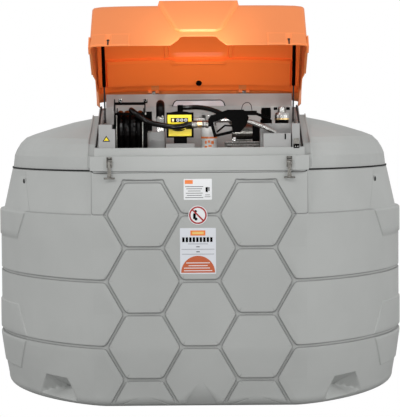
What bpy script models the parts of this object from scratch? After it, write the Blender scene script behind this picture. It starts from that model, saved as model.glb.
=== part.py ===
# Bunded diesel tank: moulded outer tank with hexagon grooves, inner tank, cover with
# a pump compartment, orange lid on gas struts, and the dispensing kit inside.
# Metres, +Z up, +X to the right, front towards -Y, origin on the floor under the middle.

import bpy
import bmesh
import numpy as np
from math import atan2, cos, hypot, pi, radians, sin
from mathutils import Matrix, Vector

# Clearances
FIT = 0.0003
MERGE = 0.000001
CUT_SPARE = 0.02

# Main sizes, from which the others follow
HALF_WIDTH = 1.15
HALF_DEPTH = 1.075
HOOD_HALF = 0.550
SEAM_Z = 1.2450

# Outer tank: plan outline, heights and wall
FLAT_HALF = HOOD_HALF - 0.050
PLAN_POWER = 1.4
SIDE_POWER = 1.7
WALL = 0.008
STEP_Z = SEAM_Z - 0.2285
STEP_HALF = 0.0035
STEP_INSET = 0.020
SEAM_INSET = 0.071
BELLY_Z = 0.30
FOOT_INSET = 0.040
BASE_INSET = 0.095
FRONT_BAND_HALF = HOOD_HALF + 0.0235
BAND_DRAFT = 0.008
CORNER_STEPS = 9
CORNER_START = 0.24

# Height and inset of the foot of the wall, floor upwards
FOOT_LEVELS = [(0.0, BASE_INSET), (0.006, 0.067), (0.022, 0.052), (0.048, FOOT_INSET),
               (0.15, 0.022)]

# Hexagon grooves
HEX_PITCH_X = 0.2955
HEX_PITCH_Z = 0.3475
HEX_TOP_Z = STEP_Z
HEX_LOWEST = 0.045
HEX_SHORTEST = 0.075
GROOVE_WIDTH = 0.017
GROOVE_DEPTH = 0.005

# Lashing pockets in the four foot corners: places along the outline with their heights,
# and the deepest two points with how far in they lie
POCKET_MOUTH = [(0.825, 0.155), (0.707, 0.143), (0.643, 0.018), (0.856, 0.042)]
POCKET_DEEP = [(0.790, 0.073, 0.100), (0.735, 0.085, 0.075)]
POCKET_WALL = 0.010

# Inner tank
INNER_GAP = 0.045
INNER_WALL = 0.008
INNER_TOP_Z = SEAM_Z - 0.020
INNER_FOOT_INSET = 0.200
INNER_FOOT_Z = 0.200
FILL_HOLE_RADIUS = 0.035

# Cover: dome levels as height above the seam and inset, and the cable grommets
DOME_LEVELS = [(0.0, 0.074), (0.071, 0.082), (0.102, 0.095), (0.139, 0.118),
               (0.1695, 0.150), (0.190, 0.203), (0.222, 0.307), (0.255, 0.426),
               (0.2785, 0.545), (0.313, 0.760), (0.330, 0.960)]
DOME_SHOULDER = 0.180
DOME_REACH = 1.075
COVER_STEPS = 12

# Hood frame round the compartment
FRAME_WALL = 0.023
BAY_HALF = HOOD_HALF - FRAME_WALL
BAY_FRONT = 0.050
BAY_REAR = 0.560
BAND_DEPTH = 0.16
LEDGE_Z = SEAM_Z + 0.077
RIM_Z = SEAM_Z + 0.1195
RIM_SETBACK = 0.032
FRAME_REAR_Z = SEAM_Z + 0.332
FRAME_FOOT_Z = SEAM_Z + 0.010
FRAME_BACK = (0.90, SEAM_Z + 0.255)
BAY_BACK_THICK = 0.030
GUTTER_OUTER = FRONT_BAND_HALF + 0.010
GUTTER_LIP = 0.006
GUTTER_LINE = [(0.070, LEDGE_Z + 0.002), (0.085, LEDGE_Z + 0.002), (0.130, SEAM_Z + 0.139),
               (0.620, SEAM_Z + 0.290)]
SHELF_Z = SEAM_Z + 0.338
RIDGE_Z = SEAM_Z + 0.4075
RIDGE_HALF = BAY_HALF - 0.015
RIDGE_BACK = (0.93, SEAM_Z + 0.303)
RIDGE_FRONT = 0.590
RIDGE_REAR = 0.665
WINDOW_HALF = 0.146
WINDOW_RISE = 0.026
WINDOW_DEPTH = 0.016
PANEL_HALF = 0.200
PANEL_TOP_HALF = 0.160
PANEL_DEPTH = 0.006
PANEL_TOP_GAP = 0.012
WINDOW_FOOT = 0.004

# Compartment floor and the moulded boxes in it
BAY_FLOOR_Z = SEAM_Z + 0.055
BAY_FLOOR = 0.012
SIDE_BOX_HEIGHT = 0.188
LEFT_BOX_WIDTH = 0.0855
LEFT_BOX_REAR_WIDTH = 0.0695
LEFT_BOX_STEP = 0.164
LEFT_BOX_FRONT = 0.075
RIGHT_BOX_WIDTH = 0.202
RIGHT_STRIP_WIDTH = 0.040
RIGHT_BOX_SET_BACK = 0.190
REEL_BLOCK = ((-0.271, 0.225), (-0.184, 0.500), 0.148)
METER_BLOCK = ((-0.176, 0.190), (-0.025, 0.400), 0.085)

# Lid, drawn closed with its hinge line as origin and opened by a turn about X
HINGE_SET_BACK = 0.620
HINGE_Z = SEAM_Z + 0.419
LID_OPEN = radians(48.5)
LID_REACH = 0.605
LID_HALF = HOOD_HALF + 0.016
LID_DROP = 0.332
LID_WALL = 0.005
LID_LEAN = 0.030
LID_CROWN = 0.056
LID_SLOPE_END = 0.145
LID_CROWN_END = 0.050
LID_REAR_Z = 0.016
LID_TAIL = 0.062
LID_SIDE_LINE = [(LID_REACH - 0.060, -LID_DROP), (LID_REACH - 0.105, -0.268), (0.0, -0.112),
                 (-LID_TAIL, -0.060)]
LID_STATIONS = [(0.0, 0.040, 0.014), (0.012, 0.022, 0.006), (0.045, 0.014, 0.002),
                (0.136, 0.007, 0.0), (0.240, 0.0, 0.0)]
TAIL_CLEAR = 0.008
REAR_EDGE = 0.004
PANEL_RISE = 0.014
PANEL_PROUD = 0.010
PANEL_REACH_BACK = 0.20
LID_PANEL = [(0.185, LID_CROWN + PANEL_RISE), (0.2135, LID_CROWN - 0.008),
             (0.123, -0.190), (0.0985, -0.207)]
NOTCH_OUTLINE = [(0.0917, 0.081), (0.128, 0.006), (0.134, -CUT_SPARE)]
PAD_X = [(0.361, 0.457), (0.483, LID_HALF + 0.0045)]
PAD_LOW = -0.325
PAD_HIGH = -0.230
PAD_PROUD = 0.004
SIDE_PAD = [(LID_REACH - 0.015, -0.234), (LID_REACH - 0.015, -0.321),
            (LID_REACH - 0.058, -0.321), (LID_REACH - 0.103, -0.262), (0.270, -0.190),
            (0.270, -0.130), (LID_REACH - 0.105, -0.192), (LID_REACH - 0.045, -0.234)]
KEYHOLE_X = FRONT_BAND_HALF - 0.1035
KEYHOLE_HALF = 0.006
KEYHOLE_RISE = 0.045
HINGE_X = HOOD_HALF * 0.4546
HINGE_WIDTH = 0.060
HINGE_LEAF = 0.003
PIN_RADIUS = 0.0030
KNUCKLE_RADIUS = 0.0060

# Gas struts: foot and closed head as reach forward of the hinge line and height from it
STRUT_X = BAY_HALF - 0.012
STRUT_FOOT = (0.10, -0.160)
STRUT_HEAD_CLOSED = (0.40, -0.035)
CYLINDER_RADIUS = 0.0095
ROD_RADIUS = 0.0045
CYLINDER_LENGTH = 0.270
ROD_LENGTH = 0.272
STUD_RADIUS = 0.005
EYE_RADIUS = 0.0085
EYE_HALF = 0.006
EAR_THICK = 0.003
FOOT_HALF = (0.0115, 0.022)

# Draw latches
LATCH_X = FRONT_BAND_HALF - 0.1045
LATCH_PIVOT_Z = SEAM_Z + 0.047
LATCH_WIDTH = 0.030
LATCH_LENGTH = 0.084
LATCH_BAR_HALF = 0.029
LATCH_PIN_OUT = 0.012
LATCH_PIN_RADIUS = 0.0045
LATCH_PLATE = 0.0025
LATCH_EAR = 0.003
LATCH_TOP_GAP = 0.004
LATCH_TAPER = 0.55

# Hose reel
REEL_X = -(BAY_HALF - 0.160)
REEL_SET_BACK = 0.285
REEL_HEIGHT = 0.152
REEL_WIDTH = 0.165
REEL_RADIUS = 0.125
HUB_RADIUS = 0.055
AXLE_RADIUS = 0.010
WINDING_RADIUS = 0.112
HOSE_TURNS = 4
HOSE_RADIUS = 0.0145
FRAME_PLATE = 0.004
PLATE_OUTLINE = [(0.130, 0.260), (0.150, 0.300), (0.175, 0.322), (0.235, 0.322),
                 (0.270, 0.245), (0.400, 0.200), (0.415, 0.150), (0.415, FIT),
                 (0.155, FIT), (0.155, 0.140), (0.130, 0.210)]
TIE_BARS = [(0.195, 0.299), (0.147, 0.243), (0.147, 0.030), (0.380, 0.020)]
TIE_RADIUS = 0.0055
UPRIGHT_OFFSET = 0.0685
BRACKETS = [(-0.006, 0.192, 0.2365), (0.036, 0.152, 0.256)]
BRACKET_SET_BACK = (0.210, 0.245)

# Dispensing kit: places as (x, behind the front, above the compartment floor)
METER_LOW = (-0.173, 0.170, 0.116)
METER_HIGH = (-0.029, 0.270, 0.250)
METER_LEG = ((-0.135, 0.200), (-0.065, 0.260))
METER_PORT = (-0.100, 0.250, 0.290)
METER_PORT_RADIUS = 0.015
FACE_THICK = 0.005
FACE_UPPER = ((-0.167, 0.183), (-0.040, 0.237))
FACE_WINDOW = ((-0.150, 0.197), (-0.058, 0.221))
FACE_LOWER = ((-0.162, 0.125), (-0.040, 0.1606))
FACE_WEB_HALF = 0.030
HOSE_LINE = (0.135, 0.186)
SWIVEL_SPAN = (-0.037, 0.048)
SWIVEL_RADIUS = 0.0165
FILTER_AT = (0.053, 0.260)
FILTER_RADIUS = 0.0435
FILTER_SPAN = (0.015, 0.178)
FILTER_HEAD = (0.040, 0.235)
FILTER_PORT = (0.240, 0.208)
FILTER_PORT_END = 0.200
PORT_RADIUS = 0.014
MOTOR_LINE = (0.290, 0.145)
MOTOR_SPAN = (0.175, 0.285)
MOTOR_RADIUS = 0.042
MOTOR_PORT = (0.205, 0.165)
PUMP_BASE_LOW = (0.135, 0.235, 0.066)
PUMP_BASE_HIGH = (0.322, 0.345, 0.090)
PUMP_LEGS = (0.150, 0.292)
PUMP_LEG_WIDTH = 0.020
PUMP_FOOT_HALF = (0.050, 0.020)
TERMINAL_BOX = ((0.2853, 0.255), (0.322, 0.305), 0.182)
BEND_AT = (-0.207, 0.265)
BEND_RADIUS = 0.0225
BEND_TURN = 0.035
BEND_TOP = 0.261
FITTING_HALF = 0.018
FITTING_TOP = 0.2217
LEAD_ROUTE = [(-0.357, 0.200, 0.262), (-0.357, 0.147, 0.2633), (-0.337, 0.120, 0.249),
              (-0.300, 0.112, 0.220), (-0.261, 0.116, 0.1985), (-0.205, 0.128, 0.1835),
              (-0.142, 0.135, 0.1740), (-0.094, 0.135, 0.1765), (-0.060, 0.135, 0.1850),
              (-0.0380, 0.135, 0.1860)]
PUMP_HOSE_ROUTE = [(-0.0843, 0.250, 0.275), (-0.06, 0.250, 0.275), (-0.02, 0.258, 0.277),
                   (0.03, 0.275, 0.2725), (0.08, 0.288, 0.259), (0.13, 0.290, 0.236),
                   (0.1647, 0.290, 0.2053)]
PUMP_HOSE_RADIUS = 0.013

# Nozzle, outlines as (x, above the compartment floor)
NOZZLE_HALF = 0.020
NOZZLE_OUTLINE = [(0.0483, 0.174), (0.0483, 0.212), (0.060, 0.230), (0.150, 0.262),
                  (0.235, 0.262), (0.250, 0.245), (0.262, 0.220), (0.250, 0.180),
                  (0.215, 0.143), (0.178, 0.143), (0.172, 0.200), (0.140, 0.220),
                  (0.070, 0.194), (0.062, 0.174)]
GUARD_HALF = 0.009
GUARD_OUTLINE = [(0.054, 0.204), (0.078, 0.116), (0.190, 0.140), (0.184, 0.155),
                 (0.090, 0.134), (0.071, 0.209)]
TRIGGER_HALF = 0.006
TRIGGER_OUTLINE = [(0.090, 0.148), (0.135, 0.184), (0.180, 0.181), (0.180, 0.171),
                   (0.138, 0.174), (0.096, 0.140)]
TRIGGER_PIN = (0.184, 0.176)
TRIGGER_PIN_RADIUS = 0.003
TRIGGER_EYE = 0.0075
TRIGGER_SLOT = ((0.160, 0.155), (0.200, 0.197))
SENSOR_BLOCK = ((0.240, 0.232), (0.305, 0.256))
SENSOR_HALF = 0.017
SENSOR_ROD = ((0.300, 0.241), (0.374, 0.212))
SENSOR_ROD_RADIUS = 0.008
SPOUT_ROUTE = [(0.2564, 0.1999), (0.295, 0.1885), (0.345, 0.170), (0.403, 0.137)]
SPOUT_RADIUS = 0.0125
HOLSTER_LOW = (0.337, BAY_FRONT + 0.0006, FIT)
HOLSTER_HIGH = (0.480, 0.185, 0.137)
HOLSTER_WALL = 0.005

# Filler, vent and lid lock
FILLER_X = BAY_HALF - 0.0814
FILLER_SET_BACK = 0.330
FILLER_PROFILE = [(0, 0.0), (0.0365, 0.0), (0.0365, 0.018), (0, 0.018)]
CAP_PROFILE = [(0, 0.0183), (0.039, 0.0183), (0.039, 0.045), (0.034, 0.057), (0.012, 0.064),
               (0, 0.064)]
CAP_GRIP_HALF = (0.010, 0.024)
CAP_GRIP_TOP = 0.087
VENT_X = FILLER_X - 0.085
VENT_PROFILE = [(0, 0.0), (0.032, 0.0), (0.032, 0.018), (0.0245, 0.024), (0.0245, 0.084),
                (0, 0.084)]
LOCK_LOW = (0.494, 0.0335)
LOCK_HIGH = (0.522, 0.0485)
LOCK_HEIGHT = 0.045

FRONT = -HALF_DEPTH


def material(name, color, roughness, metallic=0.0):
    mat = bpy.data.materials.new(name)
    mat.use_nodes = True
    shader = mat.node_tree.nodes["Principled BSDF"]
    shader.inputs["Base Color"].default_value = (*color, 1.0)
    shader.inputs["Roughness"].default_value = roughness
    shader.inputs["Metallic"].default_value = metallic
    return mat


def add_object(name, bm, mat, smooth=False, parent=None):
    """A bmesh made into an object, with its faces pointing out."""
    bmesh.ops.recalc_face_normals(bm, faces=bm.faces)
    mesh = bpy.data.meshes.new(name)
    bm.to_mesh(mesh)
    bm.free()
    mesh.materials.append(mat)
    if smooth:
        mesh.shade_smooth()
        mesh.set_sharp_from_angle(angle=radians(32))
    obj = bpy.data.objects.new(name, mesh)
    bpy.context.scene.collection.objects.link(obj)
    obj.parent = parent
    return obj


def box_bm(low, high):
    bm = bmesh.new()
    size = [abs(h - l) for l, h in zip(low, high)]
    middle = [(h + l) / 2 for l, h in zip(low, high)]
    place = Matrix.Translation(middle) @ Matrix.Diagonal((*size, 1.0))
    bmesh.ops.create_cube(bm, size=1.0, matrix=place)
    return bm


def prism_bm(outline, axis, low, high):
    """Outline of (a, b) pairs pushed from low to high along X, Y or Z."""
    bm = bmesh.new()
    if axis == "X":
        points = [Vector((low, a, b)) for a, b in outline]
        push = Vector((high - low, 0, 0))
    elif axis == "Y":
        points = [Vector((a, low, b)) for a, b in outline]
        push = Vector((0, high - low, 0))
    else:
        points = [Vector((a, b, low)) for a, b in outline]
        push = Vector((0, 0, high - low))
    face = bm.faces.new([bm.verts.new(p) for p in points])
    out = bmesh.ops.extrude_face_region(bm, geom=[face])
    moved = [v for v in out["geom"] if isinstance(v, bmesh.types.BMVert)]
    bmesh.ops.translate(bm, verts=moved, vec=push)
    return bm


def loft_bm(rings):
    """Equal rings of points joined in order, with flat ends."""
    bm = bmesh.new()
    loops = [[bm.verts.new(p) for p in ring] for ring in rings]
    count = len(loops[0])
    for first, second in zip(loops, loops[1:]):
        for i in range(count):
            j = (i + 1) % count
            bm.faces.new((first[i], first[j], second[j], second[i]))
    bm.faces.new(loops[0])
    bm.faces.new(loops[-1])
    return bm


def hull_bm(points):
    bm = bmesh.new()
    for point in points:
        bm.verts.new(point)
    bmesh.ops.convex_hull(bm, input=bm.verts)
    return bm


def turned_bm(profile, middle, axis, steps=24, closed=False):
    """A profile of (radius, height) pairs spun about an axis through middle."""
    axis = Vector(axis).normalized()
    side = axis.orthogonal().normalized()
    middle = Vector(middle)
    bm = bmesh.new()
    verts = [bm.verts.new(middle + side * r + axis * h) for r, h in profile]
    edges = [bm.edges.new(pair) for pair in zip(verts, verts[1:])]
    if closed:
        edges.append(bm.edges.new((verts[-1], verts[0])))
    bmesh.ops.spin(bm, geom=verts + edges, cent=middle, axis=axis,
                   dvec=(0, 0, 0), angle=2 * pi, steps=steps, use_merge=True)
    bmesh.ops.remove_doubles(bm, verts=bm.verts, dist=MERGE)
    return bm


def rod_bm(start, end, radius, steps=16):
    start, end = Vector(start), Vector(end)
    length = (end - start).length
    profile = [(0, 0), (radius, 0), (radius, length), (0, length)]
    return turned_bm(profile, start, end - start, steps)


def swept_bm(path, radius, flat, steps=16):
    """Round bar carried along a path in the plane whose normal is flat."""
    points = [Vector(p) for p in path]
    flat = Vector(flat)
    rings = []
    for i, point in enumerate(points):
        before = points[max(i - 1, 0)]
        after = points[min(i + 1, len(points) - 1)]
        across = flat.cross((after - before).normalized())
        ring = []
        for step in range(steps):
            angle = 2 * pi * step / steps
            ring.append(point + radius * (cos(angle) * across + sin(angle) * flat))
        rings.append(ring)
    return loft_bm(rings)


def combine(obj, bm, operation):
    """Boolean with a scratch tool, worked into the mesh at once."""
    tool = add_object(obj.name + "_tool", bm, obj.data.materials[0])
    tool.matrix_world = obj.matrix_world.copy()
    step = obj.modifiers.new("step", "BOOLEAN")
    step.object = tool
    step.operation = operation
    step.solver = "EXACT"
    step.use_self = operation == "DIFFERENCE"
    bpy.context.view_layer.update()
    done = obj.evaluated_get(bpy.context.evaluated_depsgraph_get())
    mesh = bpy.data.meshes.new_from_object(done)
    obj.modifiers.clear()
    old = obj.data
    obj.data = mesh
    bpy.data.meshes.remove(old)
    bpy.data.objects.remove(tool)


def cut(obj, bm):
    combine(obj, bm, "DIFFERENCE")


def join(obj, bm):
    combine(obj, bm, "UNION")


def tube(name, points, radius, mat):
    """A hose: a round section along a POLY curve through the points."""
    curve = bpy.data.curves.new(name, "CURVE")
    curve.dimensions = "3D"
    curve.bevel_depth = radius
    curve.bevel_resolution = 3
    curve.use_fill_caps = True
    spline = curve.splines.new("POLY")
    spline.points.add(len(points) - 1)
    for target, point in zip(spline.points, points):
        target.co = (*point, 1.0)
    curve.materials.append(mat)
    obj = bpy.data.objects.new(name, curve)
    bpy.context.scene.collection.objects.link(obj)


def smooth_path(points, count):
    """Catmull-Rom curve through the route's own points, evenly read."""
    pts = np.array(points, float)
    ends = np.vstack([2 * pts[0] - pts[1], pts, 2 * pts[-1] - pts[-2]])
    dense = []
    for i in range(len(pts) - 1):
        a, b, c, d = ends[i:i + 4]
        for t in np.linspace(0, 1, 24, endpoint=False):
            dense.append(0.5 * (2 * b + (c - a) * t + (2 * a - 5 * b + 4 * c - d) * t ** 2
                                + (3 * b - a - 3 * c + d) * t ** 3))
    dense.append(pts[-1])
    dense = np.array(dense)
    run = np.concatenate([[0], np.cumsum(np.linalg.norm(np.diff(dense, axis=0), axis=1))])
    even = np.linspace(0, run[-1], count)
    columns = [np.interp(even, run, dense[:, k]) for k in range(3)]
    return [tuple(float(v) for v in point) for point in zip(*columns)]


def spot(x, set_back, height):
    """A place in the compartment: across, behind the front, above the floor."""
    return (x, FRONT + set_back, BAY_FLOOR_Z + height)


def outline_y(x, inset, wall):
    """Front edge of the plan outline at x: flat middle, then a superellipse corner."""
    reach = HALF_WIDTH - FLAT_HALF - inset - wall
    share = min(max(abs(x) - FLAT_HALF, 0) / reach, 1.0)
    return (HALF_DEPTH - inset - wall) * (1 - share ** PLAN_POWER) ** (1 / SIDE_POWER)


def corner_steps(inset, wall):
    """Distances past the flat front at which a ring has points."""
    reach = HALF_WIDTH - FLAT_HALF - inset - wall
    angles = np.linspace(CORNER_START ** (PLAN_POWER / 2), 1.0, CORNER_STEPS)
    shares = [sin(a * pi / 2) ** (2 / PLAN_POWER) if a < 1 else 1.0 for a in angles]
    band = FRONT_BAND_HALF - FLAT_HALF - wall
    return [0.0, band, band + BAND_DRAFT] + [max(s * reach, band + 2 * BAND_DRAFT)
                                             for s in shares]


def tank_ring(z, inset, wall=0.0, band=True):
    """Ring of the outer tank. With band the middle of the front keeps its full depth."""
    front = []
    for step in corner_steps(inset, wall):
        x = FLAT_HALF + step
        in_band = band and step <= FRONT_BAND_HALF - FLAT_HALF - wall + FIT
        front.append((x, -outline_y(x, 0.0 if in_band else inset, wall)))
    back = []
    for step in corner_steps(inset, wall)[:-1]:
        x = FLAT_HALF + step
        back.append((x, outline_y(x, inset, wall)))
    right = front + back[::-1]
    left = [(-x, y) for x, y in right[::-1]]
    return [(x, y, z) for x, y in right + left]


def tank_levels():
    """Height and inset of each ring, floor to seam."""
    return FOOT_LEVELS + [(BELLY_Z, 0.0), (STEP_Z - STEP_HALF, 0.0),
                          (STEP_Z + STEP_HALF, STEP_INSET), (SEAM_Z - FIT, SEAM_INSET)]


def groove_bar(bm, start, end, face_y, sign):
    """A bar of triangular section, its ridge sunk into the wall at face_y."""
    run = Vector(end) - Vector(start)
    along = run.normalized()
    across = Vector((-along.z, 0, along.x)) * GROOVE_WIDTH / 2
    out = Vector((0, sign, 0))
    spare = along * GROOVE_WIDTH * 0.28
    section = [across + out * FIT, -across + out * FIT, -out * GROOVE_DEPTH]
    rise = out * GROOVE_WIDTH
    loops = []
    for centre in (Vector(start) - spare, Vector(end) + spare):
        base = Vector((centre.x, face_y, centre.z))
        loop = [base + section[0], base + section[2], base + section[1],
                base + section[1] + rise, base + section[0] + rise]
        loops.append([bm.verts.new(p) for p in loop])
    count = len(loops[0])
    for i in range(count):
        j = (i + 1) % count
        bm.faces.new((loops[0][i], loops[0][j], loops[1][j], loops[1][i]))
    bm.faces.new(loops[0])
    bm.faces.new(loops[1])


def hexagon_edges(top_limit):
    """Edges of the flat-topped hexagons between the two outermost columns."""
    side = HEX_PITCH_X / 1.5
    half = HEX_PITCH_Z / 2
    edges = []
    for row in range(-1, 4):
        z = HEX_TOP_Z - row * HEX_PITCH_Z
        low = z - half
        edges.append(((-side / 2, z), (side / 2, z)))
        for sign in (-1, 1):
            edges.append(((sign * side / 2, z), (sign * side, low)))
            edges.append(((sign * side, low), (sign * side / 2, low - half)))
            edges.append(((sign * side, low), (sign * 2 * side, low)))
            edges.append(((sign * 2 * side, low), (sign * 2.5 * side, z)))
            edges.append(((sign * 2 * side, low), (sign * 2.5 * side, low - half)))
    kept = []
    for a, b in edges:
        top, foot = (a, b) if a[1] > b[1] else (b, a)
        if top[1] > top_limit or top[1] < HEX_LOWEST + HEX_SHORTEST:
            continue
        if foot[1] < HEX_LOWEST:
            share = (top[1] - HEX_LOWEST) / (top[1] - foot[1])
            foot = (top[0] + (foot[0] - top[0]) * share, HEX_LOWEST)
        kept.append((top, foot))
    return kept


def band_groove_bm(z, side):
    """The outermost column's level groove, carried round one side of the tank."""
    half = GROOVE_WIDTH / 2
    xs = [2.5 * HEX_PITCH_X / 1.5] + [FLAT_HALF + step for step in corner_steps(0.0, 0.0)]
    front = [(x, -outline_y(x, 0, 0)) for x in xs]
    path = front + [(x, -y) for x, y in front[::-1][1:]]
    rings = []
    for i, (x, y) in enumerate(path):
        before = path[max(i - 1, 0)]
        after = path[min(i + 1, len(path) - 1)]
        run = Vector((after[0] - before[0], after[1] - before[1])).normalized()
        out = Vector((run.y, -run.x))
        ring = []
        for out_by, rise in ((half, half), (FIT, half), (-GROOVE_DEPTH, 0), (FIT, -half),
                             (half, -half)):
            ring.append((side * (x + out.x * out_by), y + out.y * out_by, z + rise))
        rings.append(ring)
    return loft_bm(rings)


def pocket_points(side, face, spread, push):
    """Corners of a lashing pocket: mouth pushed out of the wall, then the deep points."""
    points = []
    low = min(z for x, z in POCKET_MOUTH)
    high = max(z for x, z in POCKET_MOUTH)
    left = min(x for x, z in POCKET_MOUTH)
    right = max(x for x, z in POCKET_MOUTH)
    middle = Vector(((left + right) / 2, (low + high) / 2))
    deep = [(x, z, depth) for x, z, depth in POCKET_DEEP]
    for x, z, depth in [(x, z, -push) for x, z in POCKET_MOUTH] + deep:
        away = Vector((x, z)) - middle
        place = middle + away * (1 + spread / away.length)
        y = outline_y(place.x, FOOT_INSET, 0)
        ahead = outline_y(place.x + WALL, FOOT_INSET, 0)
        inward = Vector((ahead - y, -WALL)).normalized()
        depth += spread if depth > 0 else 0
        points.append((side * (place.x + inward.x * depth), face * (y + inward.y * depth),
                       max(place.y, WALL / 2)))
    return points


def build_outer_tank(grey):
    rings = [tank_ring(z, inset, band=z > STEP_Z) for z, inset in tank_levels()]
    tank = add_object("outer_tank", loft_bm(rings), grey, smooth=True)
    inside = [tank_ring(z + WALL if i == 0 else z, inset, WALL, band=z > STEP_Z)
              for i, (z, inset) in enumerate(tank_levels()) if i not in (1, 2)]
    inside.append([(x, y, SEAM_Z + WALL) for x, y, z in inside[-1]])
    cut(tank, loft_bm(inside))
    grooves = bmesh.new()
    for a, b in hexagon_edges(SEAM_Z):
        groove_bar(grooves, (a[0], 0, a[1]), (b[0], 0, b[1]), FRONT, -1)
    cut(tank, grooves)
    grooves = bmesh.new()
    for a, b in hexagon_edges(STEP_Z):
        if min(a[1], b[1]) < STEP_Z - STEP_HALF:
            groove_bar(grooves, (a[0], 0, a[1]), (b[0], 0, b[1]), -FRONT, 1)
    cut(tank, grooves)
    for row in range(1, 3):
        for side in (-1, 1):
            cut(tank, band_groove_bm(HEX_TOP_Z - row * HEX_PITCH_Z, side))
    for side in (-1, 1):
        for face in (-1, 1):
            join(tank, hull_bm(pocket_points(side, face, POCKET_WALL, -POCKET_WALL)))
            cut(tank, hull_bm(pocket_points(side, face, 0.0, 2 * FOOT_INSET)))


def build_inner_tank(grey):
    levels = [(WALL + FIT, BASE_INSET + 2 * INNER_GAP), (WALL + INNER_GAP, INNER_FOOT_INSET),
              (INNER_FOOT_Z, INNER_FOOT_INSET), (BELLY_Z + INNER_GAP, INNER_GAP),
              (STEP_Z, STEP_INSET + INNER_GAP), (INNER_TOP_Z - INNER_GAP, SEAM_INSET + INNER_GAP),
              (INNER_TOP_Z, SEAM_INSET + 2 * INNER_GAP)]
    rings = [tank_ring(z, inset, band=False) for z, inset in levels]
    inner = add_object("inner_tank", loft_bm(rings), grey, smooth=True)
    last = len(levels) - 1
    rings = []
    for i, (z, inset) in enumerate(levels):
        rise = INNER_WALL if i == 0 else -INNER_WALL if i == last else 0
        rings.append(tank_ring(z + rise, inset, INNER_WALL, band=False))
    cut(inner, loft_bm(rings))
    hole = (FILLER_X, FRONT + FILLER_SET_BACK)
    cut(inner, rod_bm((*hole, INNER_TOP_Z - INNER_GAP), (*hole, INNER_TOP_Z + INNER_GAP),
                      FILL_HOLE_RADIUS))


def cover_ring(z, inset, wall=0.0):
    """Ring of the dome. The flat front shrinks as the dome closes in."""
    half_width = HALF_WIDTH - inset - wall
    half_depth = HALF_DEPTH - inset - wall
    flat = FLAT_HALF * min(1.0, half_width / (HALF_WIDTH - SEAM_INSET))
    quarter = []
    for angle in np.linspace(0, 1, COVER_STEPS):
        share = sin(angle * pi / 2) ** (2 / PLAN_POWER)
        x = flat + (half_width - flat) * share
        y = half_depth * max(1 - share ** PLAN_POWER, 0) ** (1 / SIDE_POWER)
        quarter.append((x, -y))
    right = quarter + [(x, -y) for x, y in quarter[::-1][1:]]
    left = [(-x, y) for x, y in right[::-1]]
    return [(x, y, z) for x, y in right + left]


def cover_levels():
    """Height and inset of the dome: upright side, rounded shoulder, low roof."""
    room = min(HALF_WIDTH, HALF_DEPTH) / DOME_REACH
    return [(SEAM_Z + rise, inset if rise < DOME_SHOULDER else inset * room)
            for rise, inset in DOME_LEVELS]


def set_back(outline):
    """Side outline of (distance behind the front, height) as (y, z)."""
    return [(FRONT + d, z) for d, z in outline]


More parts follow.
